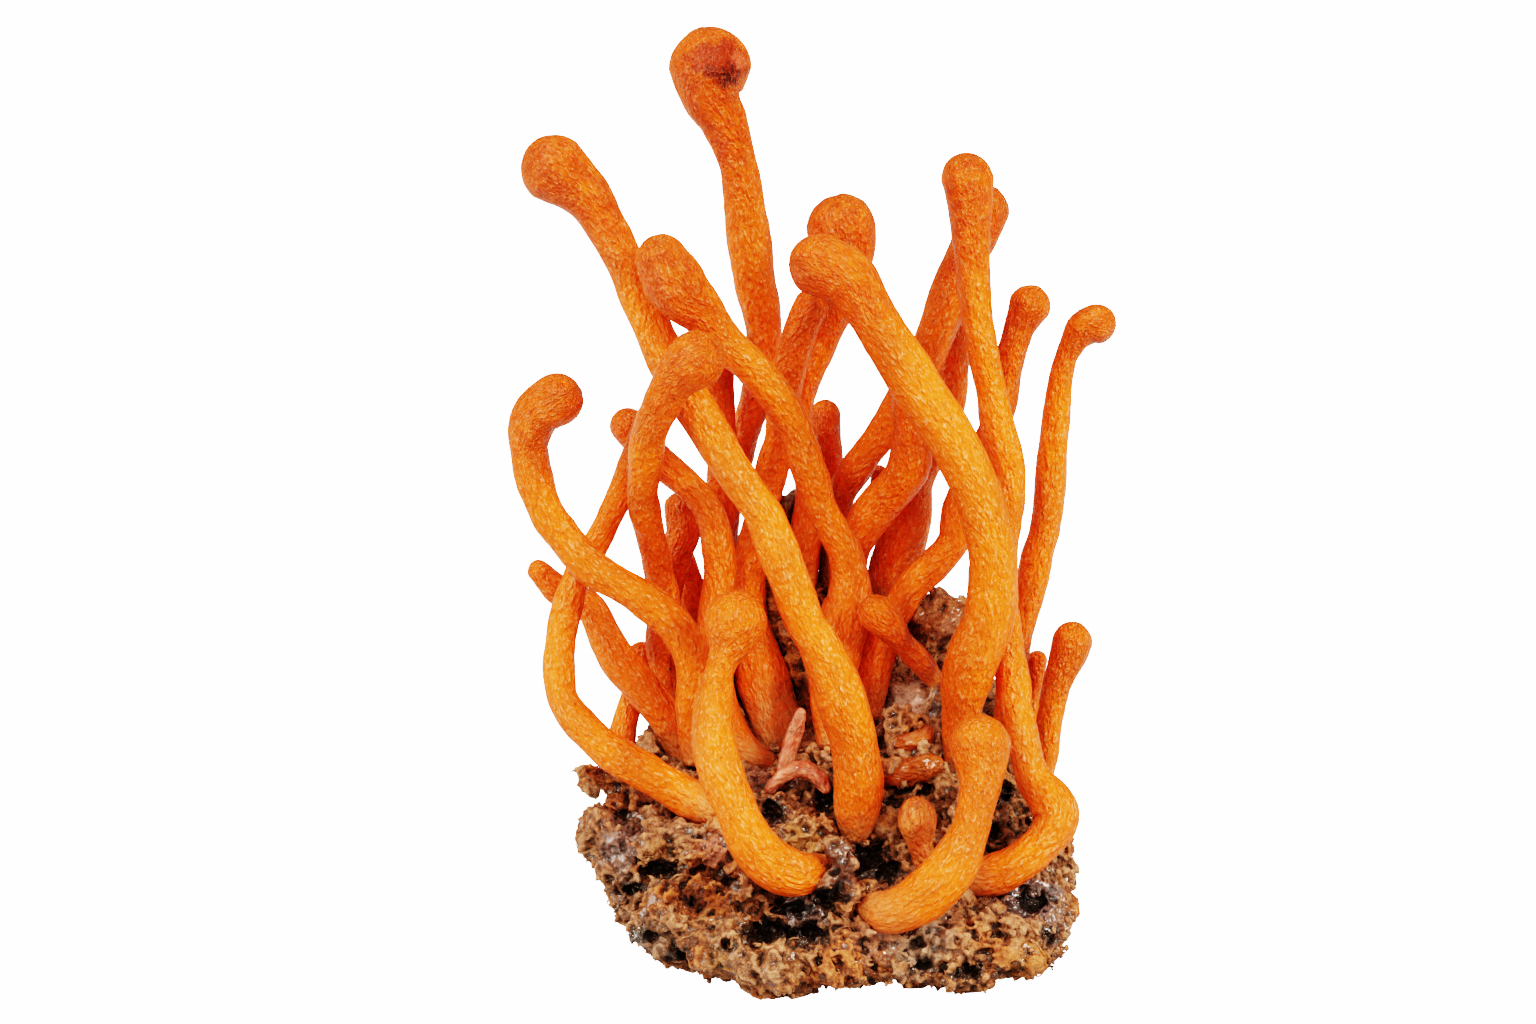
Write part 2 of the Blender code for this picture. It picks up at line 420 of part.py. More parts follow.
def cut(thing, cutter, operation="DIFFERENCE"):
    boolean = thing.modifiers.new("cut", "BOOLEAN")
    boolean.operation = operation
    boolean.solver = "EXACT"
    boolean.object = cutter
    hide_cutter(cutter)
    apply_modifiers(thing)
    bpy.data.objects.remove(cutter, do_unlink=True)


def top_height(across, deep):
    """Height of the medium's top, blended from the nearest read heights."""
    total = 0.0
    weight_sum = 0.0
    for x, y, height in TOP_HEIGHTS:
        away = (across - x) ** 2 + (deep - y) ** 2
        weight = 1.0 / (away + 0.6) ** 2
        total += height * weight
        weight_sum += weight
    return total / weight_sum


def side_swell(turn, share):
    """How far the side stands out over the footprint: left bulges, front leans back."""
    left = max(0.0, math.cos(turn - math.pi)) ** 2
    front = max(0.0, math.cos(turn + math.pi / 2)) ** 2
    right = max(0.0, math.cos(turn)) ** 2
    belly = math.sin(math.pi * min(1.0, share * 0.9))
    return 1.0 + 0.17 * left * belly - 0.12 * front * share + 0.03 * right * belly - 0.05 * share


def matrix_core():
    """Mound with the footprint below, upright sides and a rolling top."""
    outline = [Vector((x, y, 0.0)) for x, y in FOOTPRINT]
    outline.append(outline[0])
    mesh = bmesh.new()
    rows = []
    rim = []
    for k in range(MATRIX_TURNS):
        rim.append(between(outline, k * (len(outline) - 1) / MATRIX_TURNS))
    for i in range(SIDE_RINGS + 1):
        share = i / SIDE_RINGS
        row = []
        for edge in rim:
            turn = math.atan2(edge.y, edge.x)
            swell = side_swell(turn, share)
            x = edge.x * swell
            y = edge.y * swell
            z = (top_height(x, y) - 0.8) * share
            row.append(mesh.verts.new(Vector((x, y, z - 1.0 + share)) * MM))
        rows.append(row)
    for i in range(1, TOP_RINGS):
        share = 1.0 - i / TOP_RINGS
        row = []
        for edge in rim:
            swell = side_swell(math.atan2(edge.y, edge.x), 1.0) * share
            x = edge.x * swell
            y = edge.y * swell
            row.append(mesh.verts.new(Vector((x, y, top_height(x, y))) * MM))
        rows.append(row)
    top = mesh.verts.new(Vector((0.0, 0.0, top_height(0.0, 0.0))) * MM)
    for k in range(MATRIX_TURNS):
        j = (k + 1) % MATRIX_TURNS
        for lower, upper in zip(rows, rows[1:]):
            mesh.faces.new((lower[k], lower[j], upper[j], upper[k]))
        mesh.faces.new((rows[-1][k], rows[-1][j], top))
    mesh.faces.new(list(reversed(rows[0])))
    bmesh.ops.recalc_face_normals(mesh, faces=mesh.faces)
    data = bpy.data.meshes.new("substrate")
    mesh.to_mesh(data)
    mesh.free()
    return data


def add_ball(mesh, row, subdivisions=2):
    """Rough egg shape given by centre and half sizes."""
    x, y, z, wide, deep, high = row
    made = bmesh.ops.create_icosphere(mesh, subdivisions=subdivisions, radius=1.0)
    for corner in made["verts"]:
        rough = 1.0 + 0.16 * noise.noise(corner.co * 1.7 + Vector((x, y, z)))
        spot = Vector((corner.co.x * wide, corner.co.y * deep, corner.co.z * high)) * rough
        corner.co = (Vector((x, y, z)) + spot) * MM


def roughen(data):
    """Lumps and ledges a millimetre or so deep."""
    for corner in data.vertices:
        spot = corner.co / MM
        coarse = noise.noise(spot * 0.24)
        middle = noise.noise(spot * 0.62 + Vector((7.1, 2.3, 4.9)))
        layered = noise.noise(Vector((spot.x * 0.16, spot.y * 0.16, spot.z * 0.95)))
        push = 0.75 * coarse + 0.65 * middle + 0.45 * layered
        corner.co += corner.normal * push * MM


def keep_largest(data):
    """Drop loose crumbs that a cut has freed."""
    mesh = bmesh.new()
    mesh.from_mesh(data)
    left = set(mesh.verts)
    groups = []
    while left:
        edge_of = [left.pop()]
        group = set(edge_of)
        while edge_of:
            corner = edge_of.pop()
            for line in corner.link_edges:
                other = line.other_vert(corner)
                if other in left:
                    left.discard(other)
                    group.add(other)
                    edge_of.append(other)
        groups.append(group)
    largest = max(groups, key=len)
    loose = [corner for group in groups if group is not largest for corner in group]
    bmesh.ops.delete(mesh, geom=loose, context="VERTS")
    mesh.to_mesh(data)
    mesh.free()


def fuse(thing):
    """Turn overlapping closed surfaces into one."""
    remesh = thing.modifiers.new("fuse", "REMESH")
    remesh.mode = "VOXEL"
    remesh.voxel_size = VOXEL * MM
    apply_modifiers(thing)


def substrate(surface):
    thing = place("substrate", matrix_core(), surface)
    lumps = bmesh.new()
    lumps.from_mesh(thing.data)
    for row in LUMPS:
        add_ball(lumps, row)
    lumps.to_mesh(thing.data)
    lumps.free()
    fuse(thing)
    roughen(thing.data)
    for row in PITS:
        pit = bmesh.new()
        add_ball(pit, row)
        data = bpy.data.meshes.new("pit")
        pit.to_mesh(data)
        pit.free()
        cut(thing, place("pit", data))
    fuse(thing)
    thin = thing.modifiers.new("thin", "DECIMATE")
    thing.data.calc_loop_triangles()
    thin.ratio = MATRIX_TRIANGLES / len(thing.data.loop_triangles)
    apply_modifiers(thing)
    below = bmesh.new()
    bmesh.ops.create_cube(below, size=80.0 * MM)
    bmesh.ops.translate(below, verts=below.verts, vec=(0.0, 0.0, -40.0 * MM))
    data = bpy.data.meshes.new("table")
    below.to_mesh(data)
    below.free()
    cut(thing, place("table", data))
    for name, points in CLUBS.items():
        cut(thing, place("root_hole", club_mesh("root_hole", points, CLEARANCE)))
    keep_largest(thing.data)
    thing.data.materials.clear()
    thing.data.materials.append(surface)
    for face in thing.data.polygons:
        face.use_smooth = True
    return thing


def main():
    clear_scene()
    orange = material("orange_club", (0.82, 0.24, 0.02), 0.55)
    pink = material("pink_growth", (0.75, 0.36, 0.25), 0.45)
    brown = material("growing_medium", (0.26, 0.13, 0.06), 0.85)
    substrate(brown)
    for name, points in CLUBS.items():
        surface = pink if name in PINK_GROWTHS else orange
        thing = place(name, club_mesh(name, points), surface)
        for face in thing.data.polygons:
            face.use_smooth = True


main()
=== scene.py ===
"""Looks of a cordyceps bunch: orange club fungi on a crumbly lump of growing medium, in metres, +Z up."""
import math

import bpy
import numpy as np
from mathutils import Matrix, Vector, noise
from mathutils.bvhtree import BVHTree
from mathutils.kdtree import KDTree


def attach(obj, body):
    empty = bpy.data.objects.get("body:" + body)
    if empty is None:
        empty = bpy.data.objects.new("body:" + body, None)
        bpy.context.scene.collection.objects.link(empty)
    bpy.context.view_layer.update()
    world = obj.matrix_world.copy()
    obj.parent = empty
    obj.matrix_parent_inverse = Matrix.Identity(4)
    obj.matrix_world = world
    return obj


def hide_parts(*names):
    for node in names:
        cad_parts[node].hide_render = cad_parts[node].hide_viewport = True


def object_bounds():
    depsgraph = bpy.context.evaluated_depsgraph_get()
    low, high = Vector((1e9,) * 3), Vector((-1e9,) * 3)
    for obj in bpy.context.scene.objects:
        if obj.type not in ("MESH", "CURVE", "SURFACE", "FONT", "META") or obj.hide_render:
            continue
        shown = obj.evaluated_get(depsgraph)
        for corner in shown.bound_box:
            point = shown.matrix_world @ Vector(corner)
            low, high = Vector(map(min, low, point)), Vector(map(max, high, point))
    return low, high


bl_info = {
    "name": "Cordyceps bunch",
    "version": (1, 0, 0),
    "blender": (4, 5, 0),
    "location": "3D View > Sidebar > Cordyceps",
    "description": "Finishes the clubs and the growing medium of a cordyceps bunch",
    "category": "Object",
}

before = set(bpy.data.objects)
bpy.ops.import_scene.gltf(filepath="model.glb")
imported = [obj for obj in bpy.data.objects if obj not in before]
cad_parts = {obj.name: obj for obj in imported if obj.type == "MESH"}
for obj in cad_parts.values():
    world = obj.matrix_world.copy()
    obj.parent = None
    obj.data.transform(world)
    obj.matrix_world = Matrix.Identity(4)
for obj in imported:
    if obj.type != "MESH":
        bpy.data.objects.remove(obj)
CAD_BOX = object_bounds()
MM = 0.001
IMAGE_WIDTH = 1536
SEED = 11

# Viewpoint that the club routes are read from, in millimetres
ELEVATION = math.radians(15.0)
VIEW_DISTANCE = 500.0
AIM_ACROSS = -4.96
AIM_UP = 33.68
PIXELS_PER_MM = 12.5
SENSOR_MM = 36.0
RIGHT = Vector((1.0, 0.0, 0.0))
UP = Vector((0.0, math.sin(ELEVATION), math.cos(ELEVATION)))
FORWARD = Vector((0.0, math.cos(ELEVATION), -math.sin(ELEVATION)))
EYE = RIGHT * AIM_ACROSS + UP * AIM_UP - FORWARD * VIEW_DISTANCE
EYE_PLACE = EYE * MM
VIEW_AXES = [np.array(way) for way in (RIGHT, UP, FORWARD)]

# Each club from its head's centre to its root: across, up, behind, radius, in millimetres as seen from
# the viewpoint, with "behind" measured along the view from the plane through the middle of the base.
CLUBS = {
    "tallest_club": [
        (-9.57, 69.2, -11.4, 3.24), (-9.45, 67.0, -10.8, 2.5), (-8.95, 65.9, -10.5, 2.05),
        (-8.5, 65.0, -10.2, 1.85), (-7.5, 62.0, -9.3, 1.55), (-6.89, 58.0, -7.9, 1.7),
        (-6.46, 55.0, -6.8, 1.8), (-6.02, 52.0, -5.5, 1.6), (-5.27, 48.5, -3.8, 1.47),
        (-5.4, 46.0, -2.5, 1.4), (-5.9, 43.0, -0.8, 1.3), (-6.4, 41.2, 0.3, 1.15), (-7.25, 38.0, 2.3, 1.1),
        (-8.1, 35.5, 3.8, 1.1), (-8.6, 33.0, 4.7, 1.1), (-8.7, 30.0, 6.1, 1.1), (-8.2, 27.2, 7.3, 1.05),
    ],
    "far_left_club": [
        (-22.0, 61.1, -12.6, 2.75), (-19.6, 59.1, -12.5, 2.05), (-18.2, 56.9, -12.4, 1.63),
        (-16.8, 54.4, -12.3, 1.55), (-14.85, 50.0, -12.2, 1.55), (-13.0, 45.8, -12.3, 1.6),
        (-11.1, 42.45, -12.5, 1.65), (-8.5, 38.2, -12.7, 1.55), (-6.95, 35.7, -12.8, 1.5),
        (-5.2, 33.3, -12.8, 1.5), (-3.65, 29.3, -12.6, 1.55), (-2.05, 25.0, -12.2, 1.52),
        (-0.8, 23.0, -12.0, 1.6), (0.75, 19.0, -11.4, 2.0), (1.95, 15.0, -10.5, 1.87),
        (2.27, 12.0, -9.7, 1.97), (2.1, 9.5, -8.8, 1.75), (1.9, 7.6, -8.0, 1.1),
    ],
    "leaning_club": [
        (-13.5, 53.9, -17.2, 2.0), (-12.6, 52.2, -16.6, 2.4), (-11.6, 50.9, -16.0, 2.2),
        (-10.2, 49.6, -15.2, 1.75), (-8.0, 46.9, -13.4, 1.42), (-5.75, 44.8, -11.8, 1.43),
        (-3.2, 41.1, -9.5, 1.4), (-1.4, 36.3, -7.2, 1.35), (-0.65, 34.0, -6.2, 1.28),
        (1.35, 30.0, -4.9, 1.35), (1.6, 27.0, -4.2, 1.8), (1.3, 25.5, -4.0, 2.0), (0.4, 21.5, -4.0, 1.95),
        (-0.05, 18.6, -4.0, 1.65), (-0.1, 16.6, -4.0, 1.2), (0.0, 14.8, -4.0, 0.9),
    ],
    "crook_club": [
        (-10.75, 45.85, -18.8, 2.3), (-11.7, 44.95, -17.8, 1.95), (-12.6, 43.9, -16.7, 1.65),
        (-13.55, 42.1, -15.4, 1.47), (-14.4, 40.0, -13.3, 1.4), (-15.0, 36.0, -9.1, 1.25),
        (-14.85, 34.0, -7.0, 1.25), (-13.95, 30.0, -3.0, 1.2), (-13.2, 26.0, -0.2, 1.3),
        (-13.5, 23.4, 1.0, 1.25), (-13.2, 21.0, 1.8, 1.2), (-12.5, 17.0, 2.4, 1.1), (-12.0, 14.6, 2.6, 1.0),
    ],
    "hooked_club": [
        (-21.95, 42.65, -9.8, 2.17), (-23.4, 41.6, -9.3, 2.0), (-24.1, 39.8, -8.8, 1.7),
        (-24.05, 38.0, -8.5, 1.53), (-22.9, 34.0, -8.0, 1.45), (-21.4, 31.8, -7.6, 1.42),
        (-19.3, 29.5, -7.3, 1.45), (-16.5, 27.7, -7.0, 1.45), (-13.9, 26.0, -6.5, 1.5),
        (-11.85, 23.7, -5.8, 1.5), (-10.95, 20.9, -5.0, 1.35), (-11.1, 18.0, -4.2, 1.25),
        (-11.0, 16.0, -3.5, 1.15), (-10.7, 13.6, -2.9, 1.05),
    ],
    "crossing_club": [
        (-16.1, 40.6, -3.1, 1.42), (-15.1, 39.2, -3.1, 1.3), (-13.1, 37.4, -3.0, 1.25),
        (-11.7, 36.2, -2.8, 1.25), (-10.2, 34.6, -2.6, 1.22), (-9.3, 32.8, -2.3, 1.25),
        (-8.82, 29.0, -1.8, 1.38), (-9.1, 25.0, -1.4, 1.5), (-9.3, 22.0, -1.3, 1.5),
        (-9.1, 19.5, -1.5, 1.4), (-8.3, 17.0, -1.9, 1.3), (-7.0, 14.9, -2.4, 1.3), (-5.7, 14.0, -2.7, 1.1),
        (-4.5, 13.5, -2.4, 0.8),
    ],
    "bowed_club": [
        (-14.2, 41.2, -8.5, 1.35), (-15.0, 39.3, -7.1, 1.3), (-15.8, 37.3, -6.0, 1.2),
        (-16.8, 35.2, -5.0, 1.1), (-18.3, 32.0, -4.2, 1.05), (-19.4, 30.0, -3.8, 1.1),
        (-20.4, 28.2, -3.7, 1.15), (-21.5, 24.0, -4.2, 1.22), (-21.6, 20.0, -5.1, 1.3),
        (-20.9, 17.9, -5.7, 1.3), (-18.6, 15.3, -6.6, 1.45), (-17.0, 14.15, -7.0, 1.5),
        (-14.0, 12.35, -7.4, 1.47), (-11.5, 10.9, -7.3, 1.6), (-9.4, 9.4, -6.8, 1.2),
    ],
    "low_left_club": [
        (-23.3, 28.95, -0.6, 0.93), (-22.5, 28.1, -0.5, 1.1), (-21.6, 27.35, -0.4, 1.2),
        (-20.3, 26.75, -0.4, 1.25), (-19.1, 25.9, -0.5, 1.3), (-17.6, 23.0, -1.0, 1.38),
        (-16.6, 21.4, -1.3, 1.5), (-14.85, 19.4, -1.5, 1.5), (-13.3, 17.5, -1.4, 1.45),
        (-12.4, 15.2, -1.0, 1.1), (-11.9, 13.2, -0.6, 0.85),
    ],
    "low_left_pin": [
        (-15.0, 22.2, 3.9, 1.15), (-15.3, 20.5, 3.4, 1.0), (-15.8, 18.6, 2.8, 1.0),
        (-16.4, 16.9, 2.2, 1.05), (-16.75, 15.0, 1.6, 1.1), (-16.5, 13.0, 1.0, 1.1),
        (-15.7, 10.6, 0.4, 1.0),
    ],
    "shaded_club": [
        (-11.9, 34.0, 0.5, 1.35), (-11.75, 32.0, 0.9, 1.35), (-12.3, 30.4, 1.5, 1.25),
        (-12.8, 28.0, 2.3, 1.2), (-13.0, 25.0, 4.3, 1.1), (-12.8, 21.5, 6.3, 1.1), (-12.1, 17.4, 7.2, 1.0),
    ],
    "shaded_inner_club": [
        (-12.2, 30.5, 4.6, 1.1), (-11.4, 28.5, 5.2, 1.2), (-10.9, 26.0, 6.0, 1.15),
        (-10.3, 23.5, 6.7, 1.15), (-9.8, 18.6, 7.5, 1.0),
    ],
    "rear_left_club": [
        (-8.9, 47.2, -4.0, 1.35), (-8.9, 44.0, -3.0, 1.25), (-8.75, 41.0, -2.0, 1.25),
        (-8.6, 38.0, -1.0, 1.25), (-8.5, 34.0, 1.1, 1.35), (-8.8, 30.0, 2.9, 1.3), (-8.7, 26.0, 4.15, 1.25),
        (-8.5, 22.0, 4.8, 1.15),
    ],
    "rear_centre_club": [
        (-1.5, 50.0, -9.2, 1.42), (-2.3, 48.3, -8.4, 1.35), (-3.3, 45.0, -6.7, 1.3),
        (-3.8, 41.3, -4.6, 1.3), (-4.1, 39.2, -3.4, 1.3), (-4.65, 37.0, -2.0, 1.35),
        (-5.75, 32.8, -0.2, 1.3), (-6.3, 30.5, 0.5, 1.35), (-6.6, 28.0, 1.2, 1.4), (-6.6, 25.5, 1.5, 1.6),
        (-6.2, 23.0, 1.4, 1.95), (-5.3, 20.0, 0.7, 2.1), (-4.3, 17.0, 0.4, 2.05), (-3.8, 14.6, 0.4, 1.7),
    ],
    "round_topped_club": [
        (0.9, 56.4, -8.4, 2.72), (1.0, 54.0, -7.7, 2.5), (0.8, 51.6, -6.6, 1.75), (-0.2, 48.2, -4.4, 1.35),
        (-0.9, 46.8, -3.7, 1.35), (-1.75, 45.0, -2.9, 1.3), (-2.5, 43.0, -2.0, 1.25),
        (-2.6, 40.5, -0.8, 1.25), (-2.0, 38.0, -0.6, 1.25), (-1.5, 35.5, -1.3, 1.3),
        (-1.9, 32.0, -0.6, 1.3), (-2.2, 27.6, 0.8, 1.2),
    ],
    "rear_stub_club": [
        (-0.4, 41.45, 3.2, 1.25), (-0.35, 39.0, 3.4, 1.25), (0.2, 35.0, 4.7, 1.2), (0.7, 32.0, 6.1, 1.2),
        (1.2, 27.0, 7.2, 1.2),
    ],
    "rear_pin": [
        (3.95, 36.9, 3.4, 0.55), (3.6, 35.5, 3.7, 0.5), (3.0, 33.0, 4.2, 0.5), (2.5, 29.6, 5.0, 0.5),
        (2.3, 27.0, 5.4, 0.5),
    ],
    "rear_bent_club": [
        (6.6, 43.0, -6.4, 1.5), (6.6, 40.0, -5.4, 1.55), (6.5, 38.0, -4.4, 1.65), (5.8, 36.3, -3.3, 1.7),
        (4.15, 34.6, -2.0, 1.65), (2.7, 32.6, -1.1, 1.65), (1.5, 30.5, -0.4, 1.6), (1.3, 27.0, 0.6, 1.4),
        (1.1, 24.0, 1.1, 1.3),
    ],
    "centre_short_club": [
        (3.6, 25.6, -7.4, 1.45), (4.45, 24.85, -6.8, 1.35), (5.5, 23.45, -5.4, 1.0),
        (6.45, 22.5, -4.2, 0.92), (7.5, 21.4, -2.8, 0.92), (8.5, 20.0, -1.2, 0.75),
    ],
    "thick_diagonal_club": [
        (-0.8, 53.5, -14.5, 2.45), (1.45, 52.3, -14.4, 2.3), (2.8, 50.4, -14.3, 1.95),
        (3.85, 48.7, -14.2, 1.85), (5.5, 46.05, -14.0, 1.95), (7.8, 42.45, -13.8, 1.98),
        (9.75, 39.4, -13.5, 1.95), (11.2, 36.6, -13.1, 1.9), (12.2, 34.0, -12.6, 1.92),
        (12.8, 31.6, -12.1, 1.9), (13.07, 29.0, -11.5, 1.97), (12.6, 25.0, -10.4, 2.03),
        (11.1, 21.0, -8.7, 2.1), (10.6, 18.0, -7.2, 1.65), (10.4, 15.5, -5.6, 1.45),
        (10.4, 13.0, -4.2, 1.2),
    ],
    "long_right_club": [
        (10.92, 60.3, -11.2, 2.12), (11.15, 58.0, -10.8, 1.8), (11.35, 54.0, -10.2, 1.43),
        (11.5, 52.0, -9.9, 1.32), (12.0, 48.0, -9.3, 1.22), (12.7, 44.0, -8.7, 1.18),
        (13.1, 42.0, -8.4, 1.28), (13.6, 40.0, -8.1, 1.4), (14.3, 36.0, -7.6, 1.35),
        (13.9, 32.0, -7.2, 1.35), (13.6, 28.0, -6.6, 1.35), (13.95, 24.0, -6.1, 1.35),
        (14.65, 20.0, -6.7, 1.38), (15.4, 16.0, -8.0, 1.25), (16.2, 12.6, -8.9, 1.3),
        (17.6, 10.6, -9.5, 1.75), (18.1, 9.0, -10.0, 1.85), (17.05, 7.3, -10.6, 1.55),
        (15.05, 5.6, -11.0, 1.55), (13.1, 4.65, -10.6, 1.65), (11.0, 4.1, -9.8, 1.4),
    ],
    "rear_right_club": [
        (12.15, 57.75, -5.6, 2.2), (11.4, 55.2, -5.2, 1.75), (10.3, 53.0, -4.8, 1.6),
        (8.45, 48.0, -3.6, 1.55), (7.4, 45.5, -2.9, 1.5), (5.8, 42.6, -1.9, 1.4), (4.1, 40.0, -0.9, 1.28),
        (1.95, 37.0, 0.4, 1.3), (0.7, 34.5, 1.6, 1.25), (0.3, 31.0, 3.2, 1.2), (0.2, 27.4, 3.9, 1.2),
    ],
    "hidden_right_club": [
        (10.4, 51.0, -0.6, 1.3), (9.8, 48.0, -0.3, 1.3), (9.8, 44.0, 0.3, 1.3), (9.2, 41.0, 1.0, 1.3),
        (8.2, 38.5, 1.6, 1.35), (6.9, 36.0, 2.2, 1.4), (6.5, 33.0, 2.8, 1.6), (5.7, 31.0, 3.2, 2.0),
        (4.9, 28.6, 3.5, 2.0), (4.4, 24.6, 3.8, 1.5),
    ],
    "right_crossing_club": [
        (16.0, 50.15, -6.6, 1.75), (15.0, 48.0, -6.0, 1.2), (14.05, 44.0, -4.8, 1.15),
        (13.8, 42.0, -4.2, 1.15), (12.9, 40.0, -3.6, 1.15), (10.9, 35.5, -2.3, 1.2),
        (10.1, 33.5, -1.8, 1.25), (9.9, 31.3, -1.5, 1.3), (8.45, 29.5, -1.4, 1.3), (6.9, 28.1, -1.4, 1.3),
        (5.7, 26.5, -1.4, 1.3), (4.6, 24.3, -1.3, 1.4), (3.7, 22.0, -1.2, 1.5), (3.2, 19.5, -1.2, 1.4),
        (3.0, 17.0, -1.2, 1.1),
    ],
    "far_right_club": [
        (21.3, 48.75, -7.3, 1.6), (20.3, 48.3, -7.2, 1.45), (19.35, 47.0, -6.9, 1.05),
        (18.6, 45.0, -6.4, 0.98), (18.15, 42.0, -5.7, 1.08), (17.8, 38.0, -4.7, 1.2),
        (17.45, 34.0, -3.7, 1.2), (16.6, 30.0, -2.7, 1.28), (15.6, 26.0, -1.5, 1.2),
        (14.7, 22.0, 0.0, 1.15), (14.3, 18.0, 1.6, 1.1), (14.0, 14.8, 2.2, 0.95),
    ],
    "low_right_club": [
        (19.4, 23.4, -3.2, 1.57), (19.0, 22.0, -2.9, 1.5), (18.4, 20.5, -2.6, 1.25),
        (17.9, 19.0, -2.3, 1.12), (17.35, 15.0, -1.6, 1.05), (17.0, 13.0, -1.1, 1.05),
        (16.2, 9.6, -0.4, 1.0),
    ],
    "low_right_pin": [
        (16.55, 21.8, 1.9, 0.8), (16.5, 20.3, 1.8, 0.55), (16.3, 18.5, 1.8, 0.5), (16.15, 15.5, 1.8, 0.5),
        (15.7, 11.6, 1.9, 0.5),
    ],
    "front_left_club": [
        (-7.55, 25.0, -12.5, 2.4), (-7.9, 23.3, -12.6, 1.9), (-8.35, 22.0, -12.8, 1.25),
        (-8.75, 21.0, -13.0, 1.2), (-9.0, 20.0, -13.3, 1.3), (-9.4, 18.0, -14.0, 1.5),
        (-9.4, 16.0, -14.5, 1.67), (-9.05, 14.0, -15.1, 1.8), (-8.4, 12.0, -15.7, 1.77),
        (-7.6, 10.0, -16.0, 1.63), (-6.85, 8.3, -16.0, 1.7), (-5.9, 6.75, -15.6, 1.85),
        (-4.6, 5.45, -15.0, 1.95), (-2.95, 4.75, -14.3, 1.85), (-1.5, 5.0, -13.0, 1.4),
        (-0.4, 5.5, -11.0, 0.8),
    ],
    "front_right_club": [
        (12.0, 15.0, -14.0, 2.4), (12.1, 13.0, -14.6, 1.9), (12.0, 11.5, -15.0, 1.62),
        (11.7, 10.0, -15.4, 1.45), (11.2, 8.0, -16.0, 1.55), (9.95, 5.6, -16.4, 1.9),
        (8.1, 3.35, -16.4, 2.0), (5.4, 1.85, -15.6, 1.8), (3.9, 1.8, -14.2, 1.45), (2.8, 2.2, -12.6, 1.0),
    ],
    "front_stub": [
        (7.0, 9.5, -10.8, 1.45), (7.05, 8.6, -10.7, 1.5), (7.2, 7.4, -10.4, 1.0), (7.5, 6.0, -10.0, 0.85),
        (7.7, 4.4, -9.6, 0.85),
    ],
    "pink_stalk": [
        (-2.35, 17.6, -5.0, 0.42), (-2.7, 16.4, -4.8, 0.5), (-3.1, 15.2, -4.7, 0.55),
        (-3.5, 13.9, -4.7, 0.6), (-3.8, 12.2, -4.4, 0.6),
    ],
    "pink_finger": [
        (-0.35, 11.5, -7.3, 0.4), (-0.9, 12.4, -7.2, 0.62), (-1.6, 12.95, -7.1, 0.68),
        (-2.5, 13.05, -7.1, 0.62), (-3.4, 12.75, -7.1, 0.55), (-4.4, 12.0, -6.8, 0.45),
        (-4.9, 11.2, -6.4, 0.4),
    ],
    "wet_root_lobe": [
        (5.6, 15.1, -6.0, 0.55), (6.6, 15.3, -6.0, 0.68), (7.4, 15.6, -5.8, 0.7), (7.9, 15.9, -4.8, 0.6),
        (8.1, 15.6, -3.6, 0.5),
    ],
    "wet_root_ridge": [
        (8.5, 13.5, -7.4, 0.6), (7.2, 13.2, -7.6, 0.9), (5.8, 12.8, -7.6, 0.95), (4.7, 12.4, -7.1, 0.7),
        (4.5, 11.8, -5.8, 0.6),
    ],
}
MOST_TRIANGLES = 192000
FIRST_VOXEL = 0.28 * MM
FINE_VOXEL = 0.2 * MM
SHRINK = 0.42 * MM
FINE_ROUNDS = 90
COARSE_ROUNDS = 36
WIDE_RELIEF = 1.7 * MM
NEAR_RELIEF = 0.36 * MM
RING_STEP = 0.3 * MM
BUMP_DEPTH = 0.34 * MM
BOX_SLACK = 0.016
LARGEST_CRUMB = 1.9 * MM
LOOSEST_END = 0.26 * MM
SHORTER_END = 0.55
CRUMBS_IN_A_HEAP = 14
THREAD_SIDES = 5
THREAD_RINGS = 9
SOFTNESS = 0.5
FAN_SPOT = (-6.0, 6.5)
FAN_REACH = 8.5
WET_TINT = (0.34, 0.080, 0.014)
MOTTLED_TINT = (0.76, 0.22, 0.065)

# Stage: soft boxes by name, place, width and height in metres, setting of the power and share of it
WARM_WHITE = (1.0, 0.94, 0.86)
WORLD_COLOUR = (1.0, 0.76, 0.54, 1.0)
WORLD_STRENGTH = 0.21
LIGHT_AIM = (0.0, 0.0, 0.035)
SOFT_BOXES = (
    ("left_box", (-0.50, -0.02, 0.20), 0.35, 0.45, "left_power", 1.0),
    ("right_box", (0.46, -0.19, 0.28), 0.12, 0.36, "right_power", 1.0),
    ("top_box", (0.0, 0.10, 0.50), 0.40, 0.40, "top_power", 1.0),
    ("glint_box", (-0.20, -0.36, 0.42), 0.05, 0.05, "glint_power", 1.0),
    ("side_glint_box", (0.34, -0.30, 0.30), 0.03, 0.12, "glint_power", 1.4),
    ("front_box", (-0.12, -0.55, 0.32), 0.45, 0.30, "front_power", 1.0),
)

# Clubs whose skin differs from the others'
PINK_GROWTHS = ("pink_stalk", "pink_finger")
WET_GROWTHS = ("wet_root_lobe", "wet_root_ridge")
MOTTLED_STUB = "front_stub"

# Length of the root end that crumbs may cover, and the clubs where it is longer, in millimetres
COVERED_END = 1.1
COVERED_ENDS = {"low_left_pin": 6.0}

# Length over which a root fades, and the clubs where it is longer, in millimetres
ROOT_FADE = 2.3
ROOT_FADES = {"front_right_club": 4.4, "front_left_club": 2.6, "bowed_club": 2.4}

